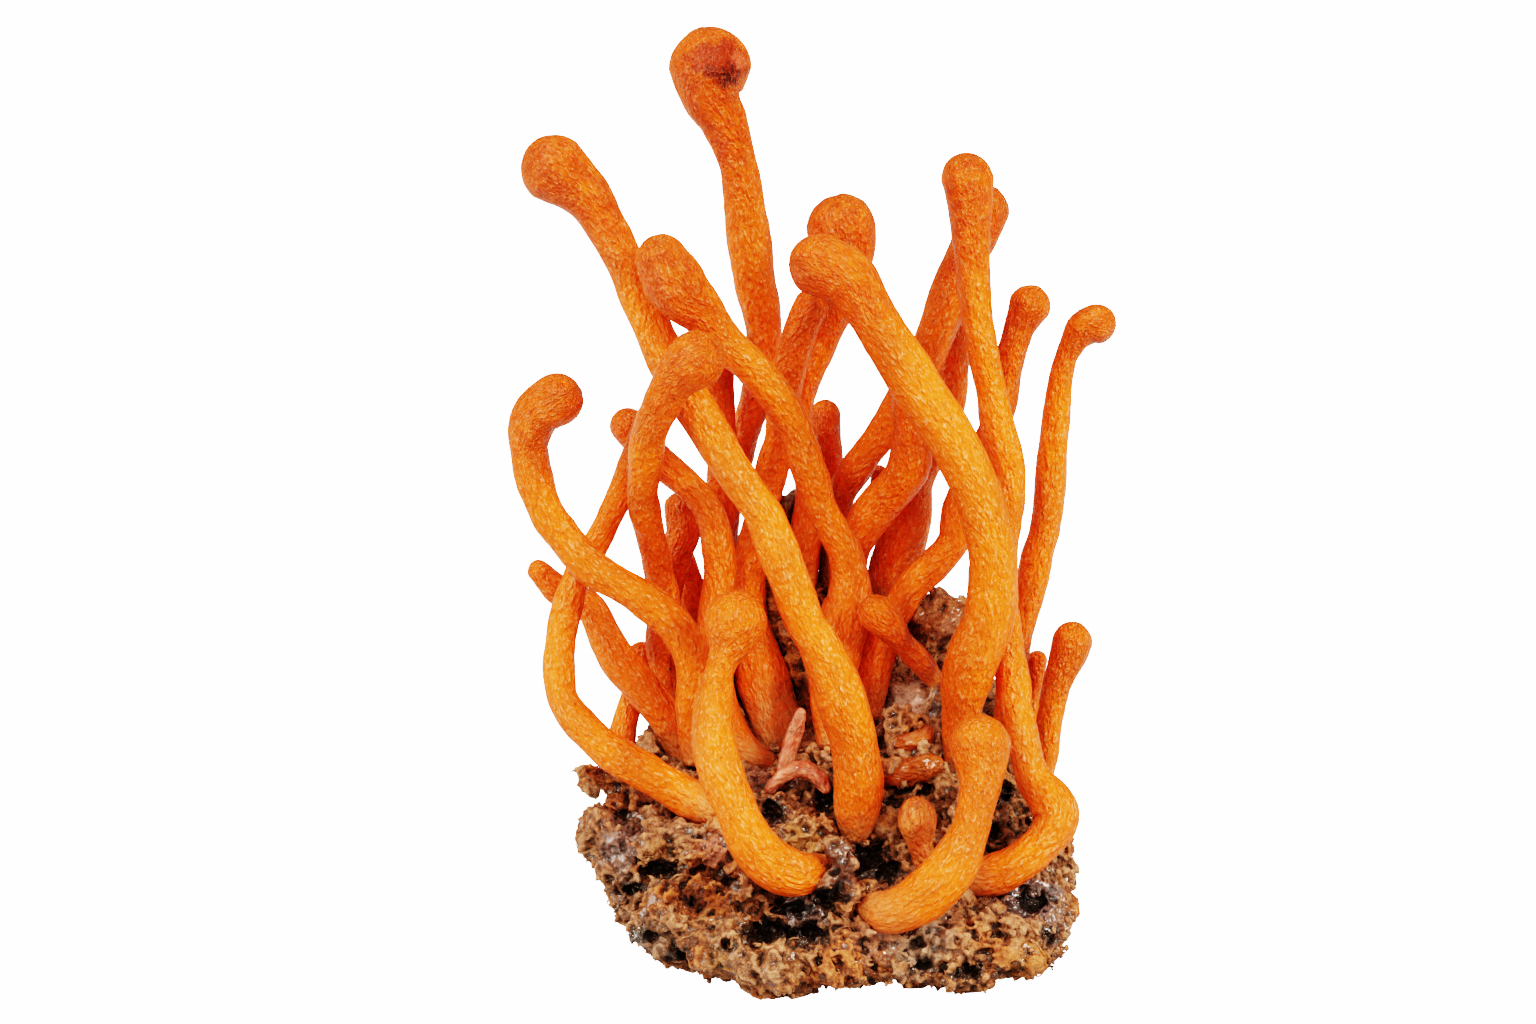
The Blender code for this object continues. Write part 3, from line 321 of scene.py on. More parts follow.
# Patches of the medium: across, up, radius in millimetres, colour, wetness and how much it covers
PATCHES = {
    "pale_skin": (5.4, 17.8, 2.8, (0.85, 0.54, 0.40), 0.25, 0.95),
    "red_wet": (7.6, 15.3, 1.4, (0.42, 0.085, 0.02), 1.0, 0.7),
    "black_wet": (8.5, 17.6, 1.2, (0.010, 0.005, 0.005), 1.0, 0.95),
    "pale_ledge": (6.6, -0.6, 3.6, (0.42, 0.31, 0.23), 0.5, 0.55),
    "pink_skirt": (3.6, 0.2, 2.5, (0.42, 0.185, 0.11), 0.4, 0.8),
    "golden_corner": (16.2, -3.0, 2.4, (0.50, 0.17, 0.03), 0.6, 0.6),
    "dark_right": (15.9, 2.4, 3.3, (0.075, 0.045, 0.05), 1.0, 0.85),
    "dark_front": (-2.2, 1.7, 2.3, (0.070, 0.036, 0.032), 1.0, 0.85),
    "dark_middle": (2.6, 5.6, 2.4, (0.040, 0.014, 0.008), 1.0, 0.8),
    "root_wet": (0.9, 5.6, 3.0, (0.085, 0.027, 0.013), 1.0, 0.9),
    "golden_net": (-15.8, 11.6, 2.2, (0.50, 0.21, 0.07), 0.9, 0.7),
    "pink_root": (-8.8, 6.7, 1.6, (0.50, 0.19, 0.12), 0.6, 0.7),
    "pink_wet": (-7.0, 6.6, 0.8, (0.58, 0.16, 0.07), 1.0, 0.8),
    "grey_left": (-14.2, -0.5, 2.2, (0.20, 0.135, 0.10), 0.2, 0.5),
    "purple_left": (-16.6, 7.2, 2.4, (0.14, 0.08, 0.08), 0.7, 0.7),
    "brown_left": (-16.4, 3.6, 2.2, (0.22, 0.10, 0.05), 0.4, 0.55),
    "golden_left": (-13.6, 6.2, 1.3, (0.50, 0.20, 0.06), 0.5, 0.6),
    "golden_mid": (-8.6, -1.9, 1.5, (0.46, 0.19, 0.05), 0.3, 0.5),
    "golden_top": (-2.2, 7.4, 2.0, (0.46, 0.20, 0.05), 0.5, 0.5),
    "pink_ridge": (-5.8, 12.7, 1.2, (0.44, 0.22, 0.15), 0.4, 0.7),
    "rusty_hill": (9.2, 25.0, 2.6, (0.36, 0.10, 0.03), 0.7, 0.4),
    "grey_tip": (-3.0, 35.4, 1.4, (0.42, 0.30, 0.22), 0.2, 0.6),
}

# Dark hollows seen in the front: across, up, half width and half height in millimetres, and depth
HOLLOWS = (
    (-5.0, -0.2, 2.3, 0.95, 3.6),
    (-1.6, -0.2, 1.2, 0.9, 2.8),
    (-2.9, 1.9, 1.6, 0.6, 2.0),
    (-0.1, 3.0, 1.1, 0.8, 2.2),
    (-15.7, 3.6, 1.0, 0.55, 1.8),
    (-13.6, 5.0, 1.4, 0.6, 2.2),
    (-12.0, -1.6, 0.8, 0.5, 1.6),
    (-8.3, -0.9, 0.6, 0.45, 1.4),
    (-15.0, -0.2, 0.9, 0.5, 1.5),
    (2.7, 5.9, 1.6, 1.4, 3.2),
    (4.5, 4.9, 1.0, 0.8, 2.4),
    (16.2, 2.2, 1.2, 0.7, 1.7),
    (17.7, -0.2, 0.7, 0.6, 1.6),
    (11.0, -3.2, 1.2, 0.5, 1.8),
    (7.2, -2.6, 0.9, 0.35, 1.3),
    (13.6, 11.1, 1.1, 0.9, 2.2),
    (12.9, 8.2, 0.7, 0.8, 1.6),
    (-12.9, 11.6, 1.0, 0.6, 2.0),
    (-16.6, 9.3, 0.8, 0.5, 1.6),
    (-4.6, 9.8, 1.0, 0.8, 1.9),
    (-0.4, 10.8, 0.8, 1.0, 1.9),
    (5.6, 12.1, 1.2, 0.8, 2.2),
    (2.6, 12.6, 0.7, 0.9, 1.8),
    (-8.0, 4.1, 0.6, 0.4, 1.2),
    (-11.2, 2.4, 0.5, 0.4, 1.1),
    (-5.4, 3.6, 0.6, 0.4, 1.1),
)

SMOOTH_PATCHES = ("pale_skin",)

# Shares that the lump's fine skin is made in: name, cuts (a place on the cut and the side that is kept, in
# millimetres) and part of the ridges. They overlap by a hair, so that no seam shows.
SHARES = (
    ("substrate_left", (((-1.6, 0.0, 0.0), (-1.0, 0.0, 0.0)), ((0.0, 1.0, 0.0), (0.0, -1.0, 0.0))), 0.32),
    ("substrate_right", (((-2.1, 0.0, 0.0), (1.0, 0.0, 0.0)), ((0.0, 1.0, 0.0), (0.0, -1.0, 0.0))), 0.36),
    ("substrate_back", (((0.0, 0.5, 0.0), (0.0, 1.0, 0.0)),), 0.32),
)

# Lumps that stand out in front and along the outline: across, up, radius, in millimetres
FRONT_LUMPS = (
    (-4.0, -2.6, 2.1), (-10.0, -2.0, 2.0), (-13.4, -1.6, 1.4), (-15.0, 0.4, 2.2), (-17.1, 5.2, 1.7),
    (-17.9, 8.5, 1.5), (-10.6, 3.0, 1.6), (-6.6, 3.0, 1.5), (-5.0, 7.2, 1.7),
    (-2.4, 8.4, 1.5), (1.2, -1.8, 1.4), (5.6, -2.4, 1.3), (10.3, -3.4, 1.1), (16.6, -2.6, 1.4),
    (19.0, 0.2, 0.9), (18.9, 4.4, 0.8), (14.4, 0.6, 1.2), (12.2, 3.0, 1.1), (18.2, 7.0, 0.9),
    (9.6, 7.4, 1.2), (10.6, 10.4, 1.1), (4.2, 8.6, 1.1), (0.4, 6.6, 1.0), (13.0, 12.6, 1.0),
)

# Heaps of crumbs that close over roots: across, up, behind, radius, in millimetres
ROOT_HEAPS = (
    (0.4, 5.2, -15.0, 1.2), (0.9, 6.2, -14.2, 1.2), (0.0, 3.8, -15.2, 1.0), (0.2, 6.9, -14.4, 0.7),
    (2.5, 1.9, -15.6, 1.3), (3.6, 0.5, -16.0, 1.1), (2.2, 2.9, -14.8, 1.2), (4.6, 0.2, -16.2, 0.9),
    (8.5, 13.3, -7.2, 0.7), (4.6, 12.0, -7.2, 0.8), (5.4, 15.0, -6.0, 0.6), (8.3, 15.9, -4.6, 0.7),
    (6.2, 12.0, -8.0, 0.6), (6.6, 14.4, -6.4, 0.6), (5.0, 13.4, -8.4, 0.5), (7.6, 14.7, -6.6, 0.5),
    (-16.6, 12.8, -0.8, 1.1), (-15.9, 11.0, -1.2, 1.2), (-15.0, 13.0, -0.4, 0.9), (-16.9, 14.4, 0.2, 0.8),
    (-19.6, 12.4, -0.4, 0.5), (-18.9, 11.4, -0.4, 0.4), (-12.6, 1.0, -13.6, 1.5), (-14.4, -1.2, -12.4, 1.3),
)

# Small tongue at the lump's upper left: across, up and radius in millimetres
TONGUE = (
    (-15.6, 11.4, 1.0), (-16.5, 12.2, 0.9), (-17.4, 12.8, 0.8), (-18.4, 12.9, 0.75), (-19.4, 12.9, 0.6),
    (-18.6, 11.9, 0.65), (-17.9, 11.4, 0.45), (-17.0, 10.6, 0.8), (-17.9, 9.6, 0.75), (-18.8, 8.6, 0.7),
)


def seen(across, up, behind):
    """Place, in metres, of a point read from the viewpoint."""
    on_plane = RIGHT * across + UP * up
    return (EYE + (on_plane - EYE) * (1.0 + behind / VIEW_DISTANCE)) * MM


HEAD_BLOTCH = (seen(-7.9, 68.6, -14.0), 1.75)
HEAD_HALO = (seen(-8.5, 69.8, -14.3), 2.7)
# Painted highlight: a pink spot at the upper right of the blotch on the tallest head.
HEAD_PAINTED_HIGHLIGHT = (seen(-7.0, 69.9, -13.6), 0.9)


# Settings that a user would change


def length_value(name, description, default):
    return bpy.props.FloatProperty(name=name, description=description, default=default, unit="LENGTH")


def power_value(name, description, default):
    return bpy.props.FloatProperty(name=name, description=description, default=default, unit="POWER")


def factor_value(name, description, default):
    return bpy.props.FloatProperty(name=name, description=description, default=default, min=0.0)


def count_value(name, description, default):
    return bpy.props.IntProperty(name=name, description=description, default=default, min=0)


def colour_value(name, description, default):
    return bpy.props.FloatVectorProperty(
        name=name, description=description, default=default, subtype="COLOR", size=3)


class ClubSettings(bpy.types.PropertyGroup):
    ring_spacing: length_value("Ring spacing", "Distance between a club's rings", 0.00035)
    side_width: length_value("Side width", "Width of a club's faces round it", 0.00034)
    wobble: length_value("Wobble", "Depth of a stalk's slow swellings", 0.00017)
    streak_depth: length_value("Streak depth", "Depth of the lengthwise wrinkles", 0.00006)
    pimple_depth: length_value("Pimple depth", "Depth of the grain on a head", 0.00006)
    flesh: colour_value("Flesh", "Main orange", (0.92, 0.136, 0.004))
    # Deep flesh is the flesh's darker tone and is also used as painted shade. The light flecks are painted
    # highlights: glints on the tops of the skin's bumps.
    deep: colour_value("Deep flesh", "Darker orange", (0.60, 0.094, 0.005))
    bright: colour_value("Bright flesh", "Light flecks", (1.0, 0.44, 0.260))
    root: colour_value("Root", "Faded root", (0.60, 0.205, 0.075))
    pink: colour_value("Pink", "Young growth", (0.58, 0.22, 0.135))


class MediumSettings(bpy.types.PropertyGroup):
    voxel: length_value("Voxel", "Finest form of the lump in front", 0.00014)
    back_voxel: length_value("Back voxel", "Finest form of the lump behind", 0.00024)
    crumbs: count_value("Crumbs", "Round crumbs fused into the lump", 2600)
    crumb_radius: length_value("Crumb radius", "Radius of a middling crumb", 0.00066)
    worms: count_value("Ridges", "Bent blunt ridges fused onto the lump", 8600)
    worm_length: length_value("Ridge length", "Half length of a middling ridge", 0.00074)
    soften: count_value("Soften", "Rounds of smoothing that take off sharp tips", 3)
    pit_depth: length_value("Pit depth", "Depth of the pits between the ridges", 0.00060)
    chips: count_value("Chips", "Loose chips on the lump", 1300)
    chip_length: length_value("Chip length", "Half length of a middling chip", 0.00050)
    gap_shade: factor_value("Gap shade", "How much darker the lump is than its chips", 0.05)
    grains: count_value("Grains", "Loose grains on the lump", 500)
    threads: count_value("Threads", "Threads that lie on the lump", 60)
    # Crest and pit colours follow the relief value. The pit colour is painted shade at the bottoms of the
    # pits. The crest colour is the crumbs' own tan with painted light on the raised parts.
    crest: colour_value("Crest", "Dry raised crumbs", (0.56, 0.28, 0.145))
    body: colour_value("Body", "Middle brown", (0.28, 0.095, 0.032))
    pit_shade: colour_value("Pit", "Pit bottoms", (0.026, 0.0080, 0.0028))


class StageSettings(bpy.types.PropertyGroup):
    floor: colour_value("Floor", "Pale floor", (0.50, 0.50, 0.50))
    glow: factor_value("Floor glow", "Glow that keeps the floor pale", 9.0)
    left_power: power_value("Left light", "Power of the soft box at the left", 3.6)
    right_power: power_value("Right light", "Power of the strip at the right", 2.7)
    top_power: power_value("Top light", "Power of the soft box above", 2.0)
    glint_power: power_value("Glints", "Power of the small lights that make wet spots shine", 1.2)
    front_power: power_value("Front light", "Power of the fill beside the camera", 1.35)


# Small tools for modelling


def only(*things):
    """Select these objects alone, the first of them active."""
    bpy.ops.object.select_all(action="DESELECT")
    for thing in things:
        thing.select_set(True)
    bpy.context.view_layer.objects.active = things[0]


def corners_of(mesh):
    spots = np.empty(len(mesh.vertices) * 3)
    mesh.vertices.foreach_get("co", spots)
    return spots.reshape(-1, 3)


def normals_of(mesh):
    ways = np.empty(len(mesh.vertices) * 3)
    mesh.vertices.foreach_get("normal", ways)
    return ways.reshape(-1, 3)


def move_corners(mesh, spots):
    mesh.vertices.foreach_set("co", np.ascontiguousarray(spots, dtype=np.float32).ravel())
    mesh.update()


def paint_value(mesh, name, values):
    layer = mesh.attributes.new(name, "FLOAT", "POINT")
    layer.data.foreach_set("value", np.ascontiguousarray(values, dtype=np.float32))


def paint_vector(mesh, name, values):
    layer = mesh.attributes.new(name, "FLOAT_VECTOR", "POINT")
    layer.data.foreach_set("vector", np.ascontiguousarray(values, dtype=np.float32).ravel())


def smooth(thing):
    only(thing)
    bpy.ops.object.shade_smooth()


def placed(name, mesh):
    thing = bpy.data.objects.new(name, mesh)
    bpy.context.scene.collection.objects.link(thing)
    return thing


def apply_modifier(thing, kind, **options):
    """Adds a modifier with its options and applies it."""
    only(thing)
    step = thing.modifiers.new("step", kind)
    for key, value in options.items():
        setattr(step, key, value)
    bpy.ops.object.modifier_apply(modifier=step.name)


def edit_all(thing):
    """Opens a mesh for editing, with all of it selected."""
    only(thing)
    bpy.ops.object.mode_set(mode="EDIT")
    bpy.ops.mesh.select_all(action="SELECT")


def fuse(thing, voxel, other):
    """Joins another object to a thing and melts both into one closed skin."""
    only(thing, other)
    bpy.ops.object.join()
    apply_modifier(thing, "REMESH", mode="VOXEL", voxel_size=voxel)


def join_copies(name, shapes, faces, places, turns, sizes):
    """One mesh of many copies of a small shape, each with its own turn and its own size along each axis."""
    moved = np.einsum("nij,nvj->nvi", turns, shapes * sizes[:, None, :]) + places[:, None, :]
    count = len(places)
    shifts = np.arange(count)[:, None, None] * shapes.shape[1]
    all_faces = (faces[None, :, :] + shifts).reshape(-1, faces.shape[1])
    mesh = bpy.data.meshes.new(name)
    mesh.from_pydata(moved.reshape(-1, 3).tolist(), [], all_faces.tolist())
    return placed(name, mesh)


def random_turns(rng, count):
    """Random rotation matrices."""
    quats = rng.normal(size=(count, 4))
    quats /= np.linalg.norm(quats, axis=1)[:, None]
    w, x, y, z = quats.T
    rows = [
        1 - 2 * (y * y + z * z), 2 * (x * y - z * w), 2 * (x * z + y * w),
        2 * (x * y + z * w), 1 - 2 * (x * x + z * z), 2 * (y * z - x * w),
        2 * (x * z - y * w), 2 * (y * z + x * w), 1 - 2 * (x * x + y * y),
    ]
    return np.stack(rows, axis=1).reshape(-1, 3, 3)


# Routes of the clubs


def between(values, position):
    """Catmull-Rom curve through the values, at a position counted in values."""
    last = len(values) - 1
    index = min(int(position), last - 1)
    t = position - index
    before = values[max(index - 1, 0)]
    start = values[index]
    end = values[index + 1]
    after = values[min(index + 2, last)]
    bend = (before * 2.0 - start * 5.0 + end * 4.0 - after) * t * t
    twist = (start * 3.0 - before - end * 3.0 + after) * t * t * t
    return (start * 2.0 + (end - before) * t + bend + twist) * 0.5


def route(points, spacing):
    """Evenly spaced ring centres and radii from a club's head centre to its root, in metres."""
    places = [seen(*point[:3]) for point in points]
    radii = [point[3] * MM for point in points]
    steps = 30
    at = [i / steps for i in range((len(points) - 1) * steps + 1)]
    fine = np.array([between(places, position) for position in at])
    wide = np.array([between(radii, position) for position in at])
    walked = np.concatenate([[0.0], np.cumsum(np.linalg.norm(np.diff(fine, axis=0), axis=1))])
    count = max(8, int(walked[-1] / spacing))
    targets = np.linspace(0.0, walked[-1], count)
    centres = np.stack([np.interp(targets, walked, fine[:, k]) for k in range(3)], axis=1)
    return centres, np.interp(targets, walked, wide), targets


def with_dome(centres, radii, walked, spacing):
    """Adds the round end of the head, ring by ring, ahead of the first ring."""
    way = centres[0] - centres[1]
    way /= np.linalg.norm(way)
    steps = max(6, int(radii[0] * math.pi / 2.0 / spacing))
    turns = np.linspace(math.pi / 2.0, 0.0, steps, endpoint=False)
    dome = centres[0] + way * (radii[0] * np.sin(turns))[:, None]
    sizes = np.maximum(radii[0] * np.cos(turns), radii[0] * 0.012)
    before = -radii[0] * turns
    return np.vstack([dome, centres]), np.concatenate([sizes, radii]), np.concatenate([before, walked])


def square_to(way):
    """Two directions square to a unit way and to each other."""
    side = np.cross(way, (0.31, 0.55, 0.77))
    side /= np.linalg.norm(side)
    return side, np.cross(way, side)


def entry_distance(centres, radii, walked, tree):
    """Distance along a club at which the medium closes round it."""
    for i in range(1, len(centres)):
        way = centres[i] - centres[i - 1]
        way /= np.linalg.norm(way)
        side, other = square_to(way)
        closed = 0
        for turn in np.arange(8) * math.pi / 4.0:
            out = side * math.cos(turn) + other * math.sin(turn)
            if tree.ray_cast(Vector(centres[i]), Vector(out), radii[i] + 0.75 * MM)[0] is not None:
                closed += 1
        if closed >= 6:
            return walked[i]
    return walked[-1]


def root_ring(points, tree):
    """Centre, radius, way and two cross ways of a club's ring at which the medium closes round it."""
    centres, radii, walked = route(points, RING_STEP)
    entry = entry_distance(centres, radii, walked, tree)
    at = int(np.argmin(np.abs(walked - entry)))
    way = centres[min(at + 3, len(centres) - 1)] - centres[max(at - 3, 0)]
    way /= np.linalg.norm(way)
    return centres[at], radii[at], way, *square_to(way)


def tree_of(mesh):
    corners = [corner.co for corner in mesh.vertices]
    return BVHTree.FromPolygons(corners, [tuple(face.vertices) for face in mesh.polygons])


def medium_tree():
    return tree_of(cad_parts["substrate"].data)


# Shader parts


def put(tree, kind, settings=None, **sockets):
    """Adds a node, with its options and the values or links of its inputs, named with _ for a space."""
    made = tree.nodes.new(kind)
    for key, value in (settings or {}).items():
        setattr(made, key, value)
    for key, value in sockets.items():
        socket = made.inputs[int(key[1:])] if key[0] == "_" else made.inputs[key.replace("_", " ")]
        if isinstance(value, bpy.types.NodeSocket):
            tree.links.new(value, socket)
        else:
            socket.default_value = value
    return made


def ramp(tree, value, low, high, start=0.0, end=1.0):
    """Straight ramp of a value from start to end, held at both ends."""
    made = put(tree, "ShaderNodeMapRange", {"clamp": True}, Value=value)
    made.inputs["From Min"].default_value = low
    made.inputs["From Max"].default_value = high
    made.inputs["To Min"].default_value = start
    made.inputs["To Max"].default_value = end
    return made.outputs["Result"]


def math_node(tree, operation, a, b=0.0):
    return put(tree, "ShaderNodeMath", {"operation": operation, "use_clamp": False}, _0=a, _1=b).outputs[0]


def times(tree, a, b):
    return math_node(tree, "MULTIPLY", a, b)


def mix(tree, amount, a, b, blend="MIX"):
    """Mix of two colours."""
    made = tree.nodes.new("ShaderNodeMix")
    made.data_type = "RGBA"
    made.blend_type = blend
    for index, value in ((0, amount), (6, a), (7, b)):
        if isinstance(value, bpy.types.NodeSocket):
            tree.links.new(value, made.inputs[index])
        elif index == 0:
            made.inputs[index].default_value = value
        else:
            made.inputs[index].default_value = (*value[:3], 1.0)
    return made.outputs[2]


def noise_at(tree, vector, scale, detail=3.0, roughness=0.55, stretch=None, turn=0.0):
    """Noise value, with the pattern stretched along the axes of its coordinates."""
    if stretch is not None:
        vector = put(tree, "ShaderNodeMapping", None, Vector=vector, Scale=stretch).outputs[0]
    made = put(tree, "ShaderNodeTexNoise", None, Vector=vector, Scale=scale, Detail=detail)
    made.inputs["Roughness"].default_value = roughness
    made.inputs["Distortion"].default_value = turn
    return made.outputs["Fac"]


def new_group(name, inputs, outputs):
    group = bpy.data.node_groups.new(name, "ShaderNodeTree")
    for label, kind in inputs:
        group.interface.new_socket(label, in_out="INPUT", socket_type=kind)
    for label, kind in outputs:
        group.interface.new_socket(label, in_out="OUTPUT", socket_type=kind)
    return group, group.nodes.new("NodeGroupInput"), group.nodes.new("NodeGroupOutput")


def patch_group():
    """Ragged round patch about a place: gives a mask."""
    group, start, end = new_group(
        "ragged_patch",
        [("Vector", "NodeSocketVector"), ("Centre", "NodeSocketVector"), ("Radius", "NodeSocketFloat"),
         ("Push", "NodeSocketFloat")],
        [("Mask", "NodeSocketFloat")],
    )
    place, centre = start.outputs[0], start.outputs[1]
    away = put(group, "ShaderNodeVectorMath", {"operation": "DISTANCE"}, _0=place, _1=centre)
    share = math_node(group, "DIVIDE", away.outputs["Value"], start.outputs[2])
    total = math_node(group, "ADD", share, start.outputs[3])
    group.links.new(ramp(group, total, 1.1, 0.6), end.inputs[0])
    return group


def bumps_group():
    """Small rounded bumps packed side by side: gives their height."""
    group, start, end = new_group(
        "packed_bumps",
        [("Vector", "NodeSocketVector"), ("Size", "NodeSocketFloat")],
        [("Height", "NodeSocketFloat")],
    )
    bend = put(group, "ShaderNodeTexNoise", None, Vector=start.outputs[0], Scale=1.3, Detail=2.0)
    shift = put(group, "ShaderNodeVectorMath", {"operation": "SCALE"}, _0=bend.outputs["Color"], Scale=0.75)
    warped = put(group, "ShaderNodeVectorMath", None, _0=start.outputs[0], _1=shift.outputs[0])
    cells = put(group, "ShaderNodeTexVoronoi", {"feature": "F1"}, Vector=warped.outputs[0], Scale=1.0)
    group.links.new(start.outputs[1], cells.inputs["Scale"])
    away = math_node(group, "POWER", cells.outputs["Distance"], 1.6)
    group.links.new(ramp(group, away, 0.75, 0.0), end.inputs[0])
    return group


def grain_group():
    """Fine grain of the medium: a mask of light flecks and a height."""
    group, start, end = new_group(
        "fine_grain",
        [("Vector", "NodeSocketVector"), ("Size", "NodeSocketFloat")],
        [("Flecks", "NodeSocketFloat"), ("Height", "NodeSocketFloat")],
    )
    coarse = noise_at(group, start.outputs[0], 1.0, 4.0, 0.65)
    fine = noise_at(group, start.outputs[0], 2.6, 3.0, 0.6)
    group.links.new(start.outputs[1], coarse.node.inputs["Scale"])
    doubled = times(group, start.outputs[1], 2.7)
    group.links.new(doubled, fine.node.inputs["Scale"])
    both = times(group, coarse, fine)
    group.links.new(ramp(group, both, 0.27, 0.40), end.inputs[0])
    group.links.new(math_node(group, "ADD", coarse, times(group, fine, 0.6)), end.inputs[1])
    return group


def use_group(tree, group, **sockets):
    made = tree.nodes.new("ShaderNodeGroup")
    made.node_tree = group
    for key, value in sockets.items():
        if isinstance(value, bpy.types.NodeSocket):
            tree.links.new(value, made.inputs[key])
        else:
            made.inputs[key].default_value = value
    return made


def new_material(name):
    made = bpy.data.materials.new(name)
    made.use_nodes = True
    tree = made.node_tree
    shader = tree.nodes["Principled BSDF"]
    return made, tree, shader


def object_mm(tree):
    """Object coordinates in millimetres."""
    place = tree.nodes.new("ShaderNodeTexCoord").outputs["Object"]
    return put(tree, "ShaderNodeVectorMath", {"operation": "SCALE"}, _0=place, Scale=1000.0).outputs[0]


def set_inputs(shader, values):
    for name, value in values.items():
        shader.inputs[name].default_value = value


def weighted(tree, *parts):
    """Sum of values, each with its weight."""
    total = None
    for value, weight in parts:
        part = times(tree, value, weight)
        total = part if total is None else math_node(tree, "ADD", total, part)
    return total


def ragged(tree, place, scale, depth):
    """Value that makes a patch's edge ragged."""
    rough = noise_at(tree, place, scale, 4.0, 0.65)
    return times(tree, math_node(tree, "SUBTRACT", rough, 0.5), depth)


def attribute(tree, name):
    return put(tree, "ShaderNodeAttribute", {"attribute_name": name})


